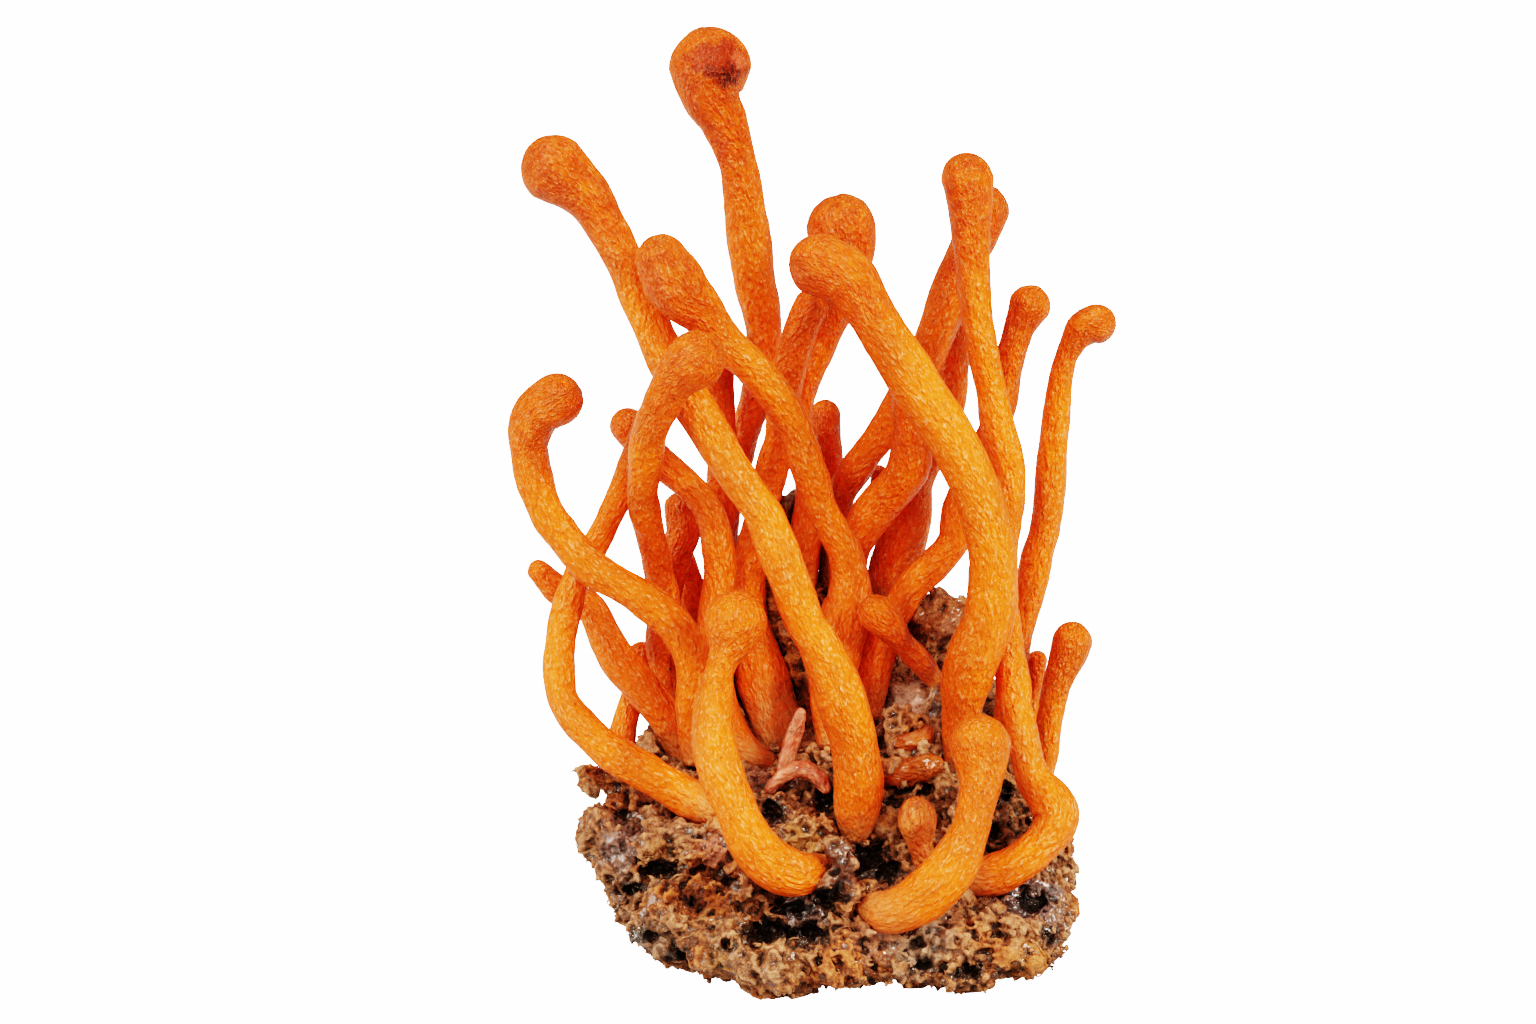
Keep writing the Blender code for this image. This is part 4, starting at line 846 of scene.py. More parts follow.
def flesh_material(name, settings, groups, pale=0.0, wet=0.0, tint=None):
    """Fungus flesh: wrinkled stalk, grainy head, slightly faded root."""
    made, tree, shader = new_material(name)
    patch, bumps = groups[1:]
    straight = attribute(tree, "straight").outputs["Vector"]
    head = attribute(tree, "head").outputs["Fac"]
    root = attribute(tree, "root").outputs["Fac"]
    long_way = put(tree, "ShaderNodeMapping", None, Vector=straight, Scale=(1.0, 1.0, 0.55)).outputs[0]
    slow = noise_at(tree, straight, 0.40, 2.0, 0.5, stretch=(1.0, 1.0, 0.40))
    streak = noise_at(tree, long_way, 1.1, 3.0, 0.55, turn=0.3)
    fine = noise_at(tree, long_way, 4.6, 2.0, 0.5)
    cells = use_group(tree, bumps, Vector=long_way, Size=2.2).outputs[0]
    mottle = noise_at(tree, straight, 1.1, 4.0, 0.6)
    colour = settings.flesh
    # The slow and streak rows give the flesh's own darker mottling. The cells and fine rows paint shade into
    # the low spots of the bumps and painted glints onto their tops.
    for value, low, high, cover, other in (
        (slow, 0.42, 0.62, 0.80, settings.deep), (streak, 0.50, 0.70, 0.38, settings.deep),
        (cells, 0.50, 0.15, 0.20, settings.deep), (cells, 0.70, 1.0, 0.16, settings.bright),
        (fine, 0.48, 0.34, 0.34, settings.deep), (fine, 0.58, 0.70, 0.36, settings.bright),
    ):
        colour = mix(tree, ramp(tree, value, low, high, 0.0, cover), colour, other)
    place = object_mm(tree)
    high_up = put(tree, "ShaderNodeSeparateXYZ", None, Vector=place).outputs[2]
    crown = times(tree, ramp(tree, mottle, 0.36, 0.60, 0.40, 1.0), head)
    crown = times(tree, crown, ramp(tree, high_up, 25.0, 60.0, 0.35, 1.0))
    darker = mix(tree, 1.0, colour, (0.68, 0.46, 0.45), "MULTIPLY")
    colour = mix(tree, crown, colour, darker)
    specks = noise_at(tree, straight, 1.7, 2.0, 0.5)
    dark = times(tree, ramp(tree, specks, 0.68, 0.75), 0.6)
    colour = mix(tree, dark, colour, (0.16, 0.025, 0.004))
    push = ragged(tree, place, 1.1, 2.2)
    squash = Vector((0.9, 0.9, 1.6))
    flat_place = put(tree, "ShaderNodeVectorMath", {"operation": "MULTIPLY"}, _0=place, _1=squash).outputs[0]
    # Halo and blotch are stains on the tallest head; the last row is a pink painted highlight beside the
    # blotch.
    for (centre, radius), vector, scale, cover, stain in (
        (HEAD_HALO, flat_place, squash, 0.92, (0.25, 0.016, 0.001)),
        (HEAD_BLOTCH, flat_place, squash, ramp(tree, fine, 0.62, 0.45, 0.45, 1.0), (0.045, 0.002, 0.0005)),
        (HEAD_PAINTED_HIGHLIGHT, place, Vector((1.0, 1.0, 1.0)), 0.55, (0.70, 0.12, 0.06)),
    ):
        mask = use_group(tree, patch, Vector=vector, Centre=centre / MM * scale, Radius=radius, Push=push)
        colour = mix(tree, times(tree, mask.outputs[0], cover), colour, stain)
    # Painted shade and painted rim light: the colour turns to deep flesh as the skin turns away from the
    # camera, and a peach painted rim light runs along the outline.
    facing = put(tree, "ShaderNodeLayerWeight", None, Blend=0.5).outputs["Facing"]
    colour = mix(tree, ramp(tree, facing, 0.32, 0.82, 0.0, 0.55), colour, settings.deep)
    colour = mix(tree, ramp(tree, facing, 0.88, 0.99, 0.0, 0.45), colour, (1.0, 0.42, 0.15))
    faded = times(tree, root, ramp(tree, mottle, 0.34, 0.56, 0.40, 1.0))
    colour = mix(tree, faded, colour, settings.root)
    if tint is not None:
        redder = [part * share for part, share in zip(tint, (0.85, 0.50, 0.45))]
        toned = mix(tree, ramp(tree, streak, 0.46, 0.66), tint, redder)
        toned = mix(tree, ramp(tree, mottle, 0.52, 0.62, 0.0, 0.75), toned, [part * 0.4 for part in tint])
        # Painted highlight: the growth's tint turns paler on the tops of the bumps.
        paler = [min(1.0, part * 1.4) for part in tint]
        toned = mix(tree, ramp(tree, cells, 0.6, 0.95, 0.0, 0.55), toned, paler)
        toned = mix(tree, dark, toned, (0.10, 0.02, 0.01))
        colour = mix(tree, pale, colour, toned)
    tree.links.new(colour, shader.inputs["Base Color"])
    gloss = ramp(tree, streak, 0.3, 0.7, 0.18 - 0.06 * wet, 0.29 - 0.14 * wet)
    tree.links.new(gloss, shader.inputs["Roughness"])
    grainy = times(tree, fine, ramp(tree, head, 0.0, 1.0, 0.62, 1.15))
    height = weighted(tree, (cells, 0.40), (streak, 0.6), (grainy, 1.15))
    bump = put(tree, "ShaderNodeBump", None, Strength=1.0, Distance=BUMP_DEPTH, Height=height)
    tree.links.new(bump.outputs[0], shader.inputs["Normal"])
    set_inputs(shader, {
        "Subsurface Weight": 0.06, "Subsurface Radius": (1.0, 0.25, 0.05), "Subsurface Scale": 0.0005,
        "Specular IOR Level": 0.42, "Specular Tint": (1.0, 0.76, 0.52, 1.0),
        "Coat Weight": 0.7 * wet, "Coat Roughness": 0.10,
    })
    return made


def medium_material(name, settings, groups, spots, loose=False):
    """Crumbly medium: painted shade in the pits, brown body, pale crests with painted light, and the patches
    that stand out on it.
    """
    made, tree, shader = new_material(name)
    grain, patch, bumps = groups
    place = object_mm(tree)
    relief_shade = attribute(tree, "relief_shade").outputs["Fac"]
    fine = use_group(tree, grain, Vector=place, Size=3.2)
    cells = use_group(tree, bumps, Vector=place, Size=1.5).outputs[0]
    hue = noise_at(tree, place, 0.20, 3.0, 0.6)
    other = noise_at(tree, place, 0.42, 3.0, 0.6)
    jitter = math_node(tree, "SUBTRACT", noise_at(tree, place, 2.6, 4.0, 0.7), 0.5)
    centred = math_node(tree, "SUBTRACT", cells, 0.55)
    dust = math_node(tree, "SUBTRACT", noise_at(tree, place, 6.5, 3.0, 0.7), 0.5)
    # The relief value carries painted shade: low values darken pits and hollows toward the pit colour, and
    # high values lighten the raised crests with painted light.
    level = weighted(tree, (relief_shade, 1.35), (jitter, 0.85), (centred, 0.30), (dust, 0.65))
    colour = mix(tree, ramp(tree, level, 0.34, 0.64), settings.pit_shade, settings.body)
    colour = mix(tree, ramp(tree, level, 0.62, 1.02), colour, settings.crest)
    golden = mix(tree, 1.0, colour, (1.15, 0.78, 0.40), "MULTIPLY")
    colour = mix(tree, ramp(tree, hue, 0.50, 0.60), colour, golden)
    greyed = mix(tree, 1.0, colour, (0.72, 0.70, 0.76), "MULTIPLY")
    colour = mix(tree, ramp(tree, other, 0.53, 0.63, 0.0, 0.75), colour, greyed)
    colour = mix(tree, times(tree, fine.outputs["Flecks"], 0.35), colour, (0.70, 0.40, 0.20))
    wet = ramp(tree, noise_at(tree, place, 0.6, 3.0, 0.6), 0.42, 0.56, 0.15, 0.95)
    push = ragged(tree, place, 0.9, 1.8)
    for key, (across, up, radius, patch_colour, patch_wet, cover) in PATCHES.items():
        mask = use_group(tree, patch, Vector=place, Centre=spots[key] / MM, Radius=radius, Push=push)
        amount = times(tree, mask.outputs[0], cover)
        # Painted shade: each patch's colour is darkened in the pits as well, less in the smooth patches.
        in_pits = [part * (0.8 if key in SMOOTH_PATCHES else 0.12) for part in patch_colour]
        shaded = mix(tree, ramp(tree, level, 0.26, 0.66), in_pits, patch_colour)
        colour = mix(tree, amount, colour, shaded)
        wet = math_node(tree, "ADD", wet, times(tree, amount, patch_wet))
    if loose:
        tone = attribute(tree, "tone").outputs["Fac"]
        lighter = mix(tree, 1.0, colour, (1.5, 1.42, 1.32), "MULTIPLY")
        darker = mix(tree, 1.0, colour, (0.42, 0.34, 0.30), "MULTIPLY")
        colour = mix(tree, ramp(tree, tone, 0.60, 1.0, 0.0, 0.8), colour, lighter)
        colour = mix(tree, ramp(tree, tone, 0.40, 0.0, 0.0, 0.9), colour, darker)
    tree.links.new(colour, shader.inputs["Base Color"])
    damp = times(tree, wet, ramp(tree, level, 0.80, 0.40, 0.55, 1.0))
    tree.links.new(ramp(tree, damp, 0.0, 1.0, 0.46, 0.10), shader.inputs["Roughness"])
    tree.links.new(ramp(tree, damp, 0.50, 0.90, 0.0, 0.9), shader.inputs["Coat Weight"])
    height = weighted(tree, (fine.outputs["Height"], 0.6), (jitter, 1.3), (cells, 0.7), (dust, 0.5))
    height = times(tree, height, ramp(tree, damp, 0.35, 0.85, 1.0, 0.45))
    bump = put(tree, "ShaderNodeBump", None, Strength=1.0, Distance=BUMP_DEPTH, Height=height)
    tree.links.new(bump.outputs[0], shader.inputs["Normal"])
    set_inputs(shader, {
        "Coat Roughness": 0.08, "Specular IOR Level": 0.75, "Specular Tint": (1.0, 0.90, 0.80, 1.0),
    })
    return made


def floor_material(settings):
    """Matt pale floor with a glow that only the camera sees, so it stays white without lighting the lump."""
    made, tree, shader = new_material("pale_floor")
    place = tree.nodes.new("ShaderNodeTexCoord").outputs["Object"]
    faint = noise_at(tree, place, 6.0, 2.0, 0.5)
    shade = [part * 0.985 for part in settings.floor]
    tree.links.new(mix(tree, faint, settings.floor, shade), shader.inputs["Base Color"])
    set_inputs(shader, {
        "Roughness": 0.9, "Specular IOR Level": 0.1, "Emission Color": (1.0, 1.0, 1.0, 1.0),
    })
    camera_ray = tree.nodes.new("ShaderNodeLightPath").outputs["Is Camera Ray"]
    tree.links.new(times(tree, camera_ray, settings.glow), shader.inputs["Emission Strength"])
    return made


# Clubs


def club_skin(name, points, settings, number, tree):
    """Round skin of one club from a bevelled curve, with its wrinkles and pimples moved into the mesh."""
    spacing = settings.ring_spacing
    centres, radii, walked = route(points, spacing)
    entry = entry_distance(centres, radii, walked, tree)
    head_length = max(radii[0] * 2.3, 1.2 * MM)
    centres, radii, walked = with_dome(centres, radii, walked, spacing)
    bpy.ops.object.select_all(action="DESELECT")
    bpy.ops.curve.primitive_nurbs_path_add()
    thing = bpy.context.active_object
    thing.name = name + "_skin"
    curve = thing.data
    curve.splines.clear()
    curve.dimensions = "3D"
    curve.bevel_depth = MM
    curve.bevel_resolution = max(10, round(math.pi * radii.max() / settings.side_width) - 2)
    curve.use_fill_caps = True
    curve.twist_mode = "MINIMUM"
    spline = curve.splines.new("POLY")
    spline.points.add(len(centres) - 1)
    spline.points.foreach_set("co", np.c_[centres, np.ones(len(centres))].astype(np.float32).ravel())
    spline.points.foreach_set("radius", (radii / MM).astype(np.float32))
    only(thing)
    bpy.ops.object.convert(target="MESH")
    edit_all(thing)
    bpy.ops.mesh.remove_doubles(threshold=0.0000001)
    bpy.ops.mesh.normals_make_consistent(inside=False)
    bpy.ops.object.mode_set(mode="OBJECT")
    mesh = thing.data
    sides = len(mesh.vertices) // len(centres)
    if sides * len(centres) != len(mesh.vertices):
        raise RuntimeError(f"{name}: the bevel gave {len(mesh.vertices)} corners for {len(centres)} rings")
    along = np.repeat(walked, sides)
    wide = np.repeat(radii, sides)
    turn = np.tile(np.arange(sides) * 2.0 * math.pi / sides, len(centres))
    offset = number * 37.0
    straight = np.stack([wide * np.cos(turn), wide * np.sin(turn), along], axis=1) / MM
    straight += np.array([offset, offset * 0.3, 0.0])
    head = np.clip(1.0 - (along - head_length) / (head_length * 0.9), 0.0, 1.0)
    fade = ROOT_FADES.get(name, ROOT_FADE)
    root = np.clip((along / MM - entry / MM + fade + 0.6) / (fade + 0.3), 0.0, 1.0)
    spots = corners_of(mesh)
    ways = normals_of(mesh)
    push = np.empty(len(spots))
    for i, (spot, flat) in enumerate(zip(spots / MM, straight)):
        slow = noise.noise(Vector(spot) * 0.33)
        x, y, z = flat
        streak = noise.noise(Vector((x * 0.9, y * 0.9, z * 0.34)))
        pimple = noise.noise(Vector((x * 1.3, y * 1.3, z * 1.1)))
        push[i] = slow * settings.wobble + streak * settings.streak_depth + pimple * settings.pimple_depth
    push *= np.clip(wide / MM, 0.0, 1.0)
    if name in PINK_GROWTHS + WET_GROWTHS:
        rough = 1.0 if name in PINK_GROWTHS else 2.4
        for i, spot in enumerate(spots / MM):
            p = Vector(spot)
            push[i] += (0.14 + (noise.noise(p * 1.0) + noise.noise(p * 2.3)) * 0.16 * rough) * wide[i]
    move_corners(mesh, spots + ways * push[:, None])
    paint_vector(mesh, "straight", straight)
    paint_value(mesh, "head", head)
    paint_value(mesh, "root", root)
    smooth(thing)
    return thing


# Growing medium


def crumb_shape():
    """A round crumb of unit radius for fusing."""
    bpy.ops.object.select_all(action="DESELECT")
    bpy.ops.mesh.primitive_ico_sphere_add(subdivisions=2, radius=1.0)
    return taken_shape()


def taken_shape():
    """Corners and triangles of the active object, which is then removed."""
    ball = bpy.context.active_object
    mesh = ball.data
    spots = corners_of(mesh)
    mesh.calc_loop_triangles()
    faces = np.array([tuple(tri.vertices) for tri in mesh.loop_triangles])
    bpy.data.objects.remove(ball, do_unlink=True)
    return spots, faces


def grain_shape():
    """An angular grain of unit radius with few faces."""
    bpy.ops.object.select_all(action="DESELECT")
    bpy.ops.mesh.primitive_uv_sphere_add(segments=6, ring_count=4)
    return taken_shape()


def shred_shape():
    """A blunt shred of unit half length along x, with few faces."""
    bpy.ops.object.select_all(action="DESELECT")
    bpy.ops.mesh.primitive_uv_sphere_add(segments=6, ring_count=5, rotation=(0.0, math.pi / 2.0, 0.0))
    bpy.ops.object.transform_apply(rotation=True)
    spots, faces = taken_shape()
    across = np.linalg.norm(spots[:, 1:], axis=1)
    spots[:, 1:] *= (np.maximum(across, 1e-6) ** -0.35)[:, None]
    return spots, faces


def crumb_variants(rng, count, shape):
    """Copies of the crumb, each bent out of round in its own way."""
    ways = rng.normal(size=(count, 5, 3))
    ways /= np.linalg.norm(ways, axis=2)[:, :, None]
    reach = rng.uniform(-0.34, 0.30, size=(count, 5))
    facing = np.clip(np.einsum("nkj,vj->nkv", ways, shape), 0.0, 1.0) ** 3
    return shape[None, :, :] * (1.0 + np.einsum("nk,nkv->nv", reach, facing))[:, :, None]


def scatter(rng, count, mesh, routes, clear=0.42):
    """Places on the lump's outside, clear of the clubs and of the flat cut."""
    mesh.calc_loop_triangles()
    tris = np.array([tuple(tri.vertices) for tri in mesh.loop_triangles])
    spots = corners_of(mesh)
    a, b, c = spots[tris[:, 0]], spots[tris[:, 1]], spots[tris[:, 2]]
    cross = np.cross(b - a, c - a)
    area = np.linalg.norm(cross, axis=1)
    outward = cross / np.maximum(area, 1e-15)[:, None]
    usable = ~((outward[:, 2] < -0.9) & (a[:, 2] < 0.4 * MM))
    chance = area * usable
    picked = rng.choice(len(tris), size=count * 2, p=chance / chance.sum())
    u, v = rng.random(count * 2), rng.random(count * 2)
    flip = u + v > 1.0
    u[flip], v[flip] = 1.0 - u[flip], 1.0 - v[flip]
    places = a[picked] + (b - a)[picked] * u[:, None] + (c - a)[picked] * v[:, None]
    ways = outward[picked]
    kept = []
    for i, spot in enumerate(places):
        found, index, away = routes[0].find(Vector(spot))
        if away > routes[1][index] + clear * MM:
            kept.append(i)
        if len(kept) == count:
            break
    return places[kept], ways[kept]


def club_routes():
    """All ring centres of the clubs in one search tree, with their radii."""
    spots = []
    sizes = []
    for points in CLUBS.values():
        centres, radii, walked = route(points, 0.5 * MM)
        spots.extend(centres)
        sizes.extend(radii)
    search = KDTree(len(spots))
    for index, spot in enumerate(spots):
        search.insert(Vector(spot), index)
    search.balance()
    return search, sizes


def away_from_smooth(places, spots):
    """True where crumbs may go, outside the smooth patches."""
    free = np.ones(len(places), dtype=bool)
    for name in SMOOTH_PATCHES:
        radius = PATCHES[name][2]
        free &= np.linalg.norm(places - np.array(spots[name]), axis=1) > radius * MM
    return free


def on_lump(tree, across, up):
    """Where the line of sight through a spot of the view plane meets the lump."""
    way = (seen(across, up, 0.0) - EYE_PLACE).normalized()
    place, normal, index, distance = tree.ray_cast(EYE_PLACE, way)
    if place is None:
        place = tree.find_nearest(seen(across, up, 0.0))[0]
    return place


def depth_of_lump(tree, across, up):
    """How far behind the view plane the lump's face lies, in millimetres."""
    return (on_lump(tree, across, up) - EYE_PLACE).dot(FORWARD) / MM - VIEW_DISTANCE


def on_view(places):
    """Across, up and behind, in millimetres, of places as they are seen from the viewpoint."""
    off = places / MM - np.array(EYE)
    far = off @ np.array(FORWARD)
    scale = VIEW_DISTANCE / far
    across = off @ np.array(RIGHT) * scale + AIM_ACROSS
    return across, off @ np.array(UP) * scale + AIM_UP, far - VIEW_DISTANCE


def rings_in_sight(solid):
    """Across, up, behind and radius, in millimetres, of the clubs' rings that the solid leaves in sight."""
    rings = []
    for name, points in CLUBS.items():
        centres, radii, walked = route(points, RING_STEP)
        across, up, behind = on_view(centres)
        for i, centre in enumerate(centres):
            if name in WET_GROWTHS or walked[i] > walked[-1] - COVERED_ENDS.get(name, COVERED_END) * MM:
                continue
            way = Vector(centre) - EYE_PLACE
            if solid.ray_cast(EYE_PLACE, way.normalized(), way.length - radii[i])[0] is None:
                rings.append((across[i], up[i], behind[i], radii[i] / MM))
    return rings


def leaves_clubs_bare(places, sizes, rings, share=0.45):
    """True where a crumb of a size doesn't stand in front of a club that the photo shows."""
    across, up, behind = on_view(places)
    reach = sizes / MM * share
    free = np.ones(len(places), dtype=bool)
    for ring_across, ring_up, ring_behind, radius in rings:
        near = np.hypot(across - ring_across, up - ring_up) < radius + reach
        free &= ~(near & (behind < ring_behind))
    return free


def flow_at(place, outward, fan):
    """Direction in which the shreds lie at a place: a fan at the lower left, slow swirls elsewhere."""
    p = Vector(place) / MM
    swirl = noise.noise_vector(p * 0.13 + Vector((7.0, 3.0, 1.0)))
    spread = p - fan
    strength = math.exp(-(spread.length / FAN_REACH) ** 2)
    spread.normalize()
    way = swirl * (1.15 - strength) + spread * strength * 1.3 + noise.noise_vector(p * 0.7) * 0.55
    normal = Vector(outward)
    way -= normal * way.dot(normal)
    if way.length < 1e-6:
        way = normal.orthogonal()
    return way.normalized()


def frames_along(places, ways, fan, rng):
    """Rotation matrices with their x axis along the flow and their z axis mostly outward."""
    turns = np.empty((len(places), 3, 3))
    tilts = rng.normal(0.0, 0.09, size=(len(places), 2))
    for i, (place, outward) in enumerate(zip(places, ways)):
        along = flow_at(place, outward, fan)
        up = Vector(outward)
        across = up.cross(along)
        along = (along + up * float(tilts[i, 0])).normalized()
        up = (along.cross(across) * -1.0 + across * float(tilts[i, 1])).normalized()
        across = up.cross(along).normalized()
        up = along.cross(across)
        turns[i] = np.array([along, across, up]).T
    return turns


def hollow_share(spots, tree, edge=1.25, fade=0.6):
    """0 to 1: how far each place lies inside a dark hollow, and how deep that hollow goes."""
    right, up, forward = VIEW_AXES
    deepest = np.zeros(len(spots))
    inside = np.zeros(len(spots))
    for across, high, half_width, half_height, depth in HOLLOWS:
        centre = np.array(on_lump(tree, across, high))
        off = (spots - centre) / MM
        near = np.flatnonzero(np.linalg.norm(off, axis=1) < 4.5 + depth)
        ragged_edge = np.array([noise.noise(Vector(spots[i] / MM) * 1.1) for i in near])
        off = off[near]
        reach = np.sqrt((off @ right / half_width) ** 2 + (off @ up / half_height) ** 2) + ragged_edge * 0.6
        deep = off @ forward
        share = np.clip((edge - reach) / fade, 0.0, 1.0) * (deep > -2.6) * (deep < 2.2 + depth)
        share = share * share * (3.0 - 2.0 * share)
        inside[near] = np.maximum(inside[near], share)
        deepest[near] = np.maximum(deepest[near], share * depth)
    return inside, deepest


def dig_hollows(spots, tree):
    """Moves corners inward where the photographed side has dark hollows."""
    inside, deepest = hollow_share(spots, tree)
    return spots + np.array(FORWARD) * (deepest * MM)[:, None]


def clear_of_hollows(places, tree, margin):
    """True where a place lies outside the dark hollows."""
    right, up, forward = VIEW_AXES
    free = np.ones(len(places), dtype=bool)
    for across, high, half_width, half_height, depth in HOLLOWS:
        off = (places - np.array(on_lump(tree, across, high))) / MM
        reach = np.sqrt((off @ right / half_width) ** 2 + (off @ up / half_height) ** 2)
        free &= (reach > margin) | (np.abs(off @ forward) > 2.6)
    return free


def relief_of(mesh, rounds, reach):
    """0 to 1: how far each corner stands above a smoothed copy of the surface."""
    edges = np.empty(len(mesh.edges) * 2, dtype=np.int64)
    mesh.edges.foreach_get("vertices", edges)
    edges = edges.reshape(-1, 2)
    spots = corners_of(mesh)
    count = len(spots)
    near = np.bincount(edges.ravel(), minlength=count).astype(float)
    soft = spots.copy()
    for _ in range(rounds):
        total = np.stack([
            np.bincount(edges[:, 0], weights=soft[edges[:, 1], k], minlength=count)
            + np.bincount(edges[:, 1], weights=soft[edges[:, 0], k], minlength=count)
            for k in range(3)], axis=1)
        soft = 0.5 * soft + 0.5 * total / near[:, None]
    rise = np.einsum("ij,ij->i", spots - soft, normals_of(mesh))
    return np.clip(0.5 + rise / reach, 0.0, 1.0)


def keep_in_box(spots):
    """Holds the lump on its flat cut and within a hair of the CAD's box."""
    low, high = (np.array(corner) for corner in CAD_BOX)
    slack = (high - low) * BOX_SLACK
    return np.clip(spots, [low[0] - slack[0], low[1] - slack[1], 0.0], high + slack)


def inside_share(places, cuts, slack=0.0):
    """True where places, in metres, lie on the kept side of a share's cuts."""
    kept = np.ones(len(places), dtype=bool)
    for place, way in cuts:
        kept &= (places / MM - np.array(place)) @ np.array(way) > slack
    return kept


def share_of_solid(name, cuts):
    """Copy of the lump's solid, shrunk a little and cut to one share, with the cuts closed."""
    core = placed(name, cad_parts["substrate"].data.copy())
    edit_all(core)
    bpy.ops.mesh.remove_doubles(threshold=0.000001)
    bpy.ops.transform.shrink_fatten(value=-SHRINK)
    for place, way in cuts:
        bpy.ops.mesh.select_all(action="SELECT")
        bpy.ops.mesh.bisect(
            plane_co=Vector(place) * MM, plane_no=way, use_fill=True, clear_inner=True, threshold=0.000001)
    bpy.ops.object.mode_set(mode="OBJECT")
    return core


def crumb_heap(settings, rng, routes, spots_of, solid, rings):
    """Places and sizes of all the round crumbs that are fused onto the lump."""
    places, ways = scatter(rng, settings.crumbs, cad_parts["substrate"].data, routes)
    free = away_from_smooth(places, spots_of)
    places, ways = places[free], ways[free]
    count = len(places)
    sizes = settings.crumb_radius * rng.lognormal(-0.10, 0.50, size=(count, 1))
    sizes = np.minimum(sizes, LARGEST_CRUMB) * rng.uniform(0.7, 1.25, size=(count, 3))
    lift = rng.uniform(-0.95, -0.15, size=count) * sizes.mean(axis=1)
    places = places + ways * lift[:, None]
    more = [tongue_crumbs(rng, solid), collar_crumbs(rng, solid), root_heap_crumbs(rng), front_lumps(solid)]
    places = np.vstack([places] + [part[0] for part in more])
    sizes = np.vstack([sizes] + [part[1] for part in more])
    free = leaves_clubs_bare(places, sizes.mean(axis=1), rings)
    return places[free], sizes[free]


def front_lumps(solid):
    """The lumps that stand out in front, half sunk in the solid."""
    places = []
    for across, up, radius in FRONT_LUMPS:
        places.append(np.array(seen(across, up, depth_of_lump(solid, across, up) + radius * 0.15)))
    radii = np.array([radius for across, up, radius in FRONT_LUMPS]) * MM
    return np.array(places), np.stack([radii, radii, radii * 0.9], axis=1)


def root_heap_crumbs(rng):
    """Crumbs heaped over the ends of the roots that show in front."""
    places = []
    sizes = []
    for across, up, behind, radius in ROOT_HEAPS:
        for _ in range(CRUMBS_IN_A_HEAP):
            spread = rng.normal(0.0, 0.42, size=3) * radius
            places.append(np.array(seen(across + spread[0], up + spread[1], behind + spread[2] + 0.5)))
            sizes.append(rng.uniform(0.35, 0.75) * rng.uniform(0.7, 1.2, size=3) * MM)
    return np.array(places), np.array(sizes)


def bent_shreds(rng, nodule):
    """Shreds bent, knotted and hooked each in its own way; nodules stay nearly straight."""
    shape, faces = shred_shape()
    count = len(nodule)
    bend = np.where(nodule, 0.15, 1.1)[:, None] * rng.normal(0.0, 1.0, size=(count, 1))
    hook = np.where(nodule, 0.1, 0.7)[:, None] * rng.normal(0.0, 1.0, size=(count, 1))
    dive = np.where(nodule, 0.1, 1.3)[:, None] * rng.uniform(0.4, 1.4, size=(count, 1))
    bent = np.repeat(shape[None, :, :], count, axis=0)
    knots = 1.0 + 0.22 * np.sin(bent[:, :, 0] * 5.0 + rng.uniform(0.0, 6.28, size=(count, 1)))
    bent[:, :, 1:] *= knots[:, :, None]
    bent[:, :, 1] += bend * (bent[:, :, 0] ** 2 - 0.4) + hook * bent[:, :, 0] ** 3
    bent[:, :, 2] -= dive * bent[:, :, 0] ** 2
    return bent, faces


def nodule_mask(rng, places, level):
    """True where round nodules lie in place of ridges: in slow patches, and more of them high up."""
    lumpy = np.array([noise.noise(Vector(spot / MM) * 0.16 + Vector((5.0, 1.0, 9.0))) for spot in places])
    lumpy += np.clip((places[:, 2] / MM - 13.0) / 6.0, -0.25, 0.35) + rng.normal(0.0, 0.16, size=len(places))
    return lumpy > level


def ridge_coat(core, cuts, count, settings, rng, routes, spots_of, solid, rings):
    """Blunt bent ridges and nodules that lie over one share of the lump, half sunk in it."""
    places, ways = scatter(rng, count, core.data, routes, 0.10)
    free = inside_share(places, cuts, 0.15) & away_from_smooth(places, spots_of)
    free &= clear_of_hollows(places, solid, 0.85)
    free &= leaves_clubs_bare(places, np.full(len(places), settings.worm_length), rings, 0.3)
    free &= places[:, 2] > 0.5 * MM
    places, ways = places[free], ways[free]
    ways = nearest_on(solid, places, ways)[1]
    count = len(places)
    nodule = nodule_mask(rng, places, 0.20)
    bent, faces = bent_shreds(rng, nodule)
    long_half = settings.worm_length * rng.lognormal(0.0, 0.36, size=count) * np.where(nodule, 0.5, 1.0)
    thick = rng.uniform(0.16, 0.29, size=count) * MM * np.where(nodule, 1.45, 1.0)
    fan = on_lump(solid, *FAN_SPOT) / MM
    turns = frames_along(places, ways, fan, rng)
    long_half = held_to_skin(places, turns, long_half, tree_of(core.data))
    sizes = np.stack([long_half, thick, thick * rng.uniform(0.8, 1.2, size=count)], axis=1)
    lift = rng.uniform(-0.14, 0.10, size=count) * MM
    return join_copies("ridges", bent, faces, places + ways * lift[:, None], turns, sizes)


def nearest_on(tree, places, ways):
    """Nearest places on a skin, and directions halfway between the given ones and the skin's own."""
    hits = [tree.find_nearest(Vector(spot)) for spot in places]
    leaned = ways * 0.5 + np.array([hit[1] for hit in hits]) * 0.5
    leaned /= np.linalg.norm(leaned, axis=1)[:, None]
    return np.array([hit[0] for hit in hits]), leaned


def held_to_skin(places, turns, long_half, skin):
    """Half lengths of shreds, shorter where an end would stand out in the air."""
    held = long_half.copy()
    for i, spot in enumerate(places):
        for way in (-1.0, 1.0):
            end = Vector(spot + turns[i][:, 0] * way * long_half[i])
            if skin.find_nearest(end)[3] > LOOSEST_END:
                held[i] *= SHORTER_END
    return held


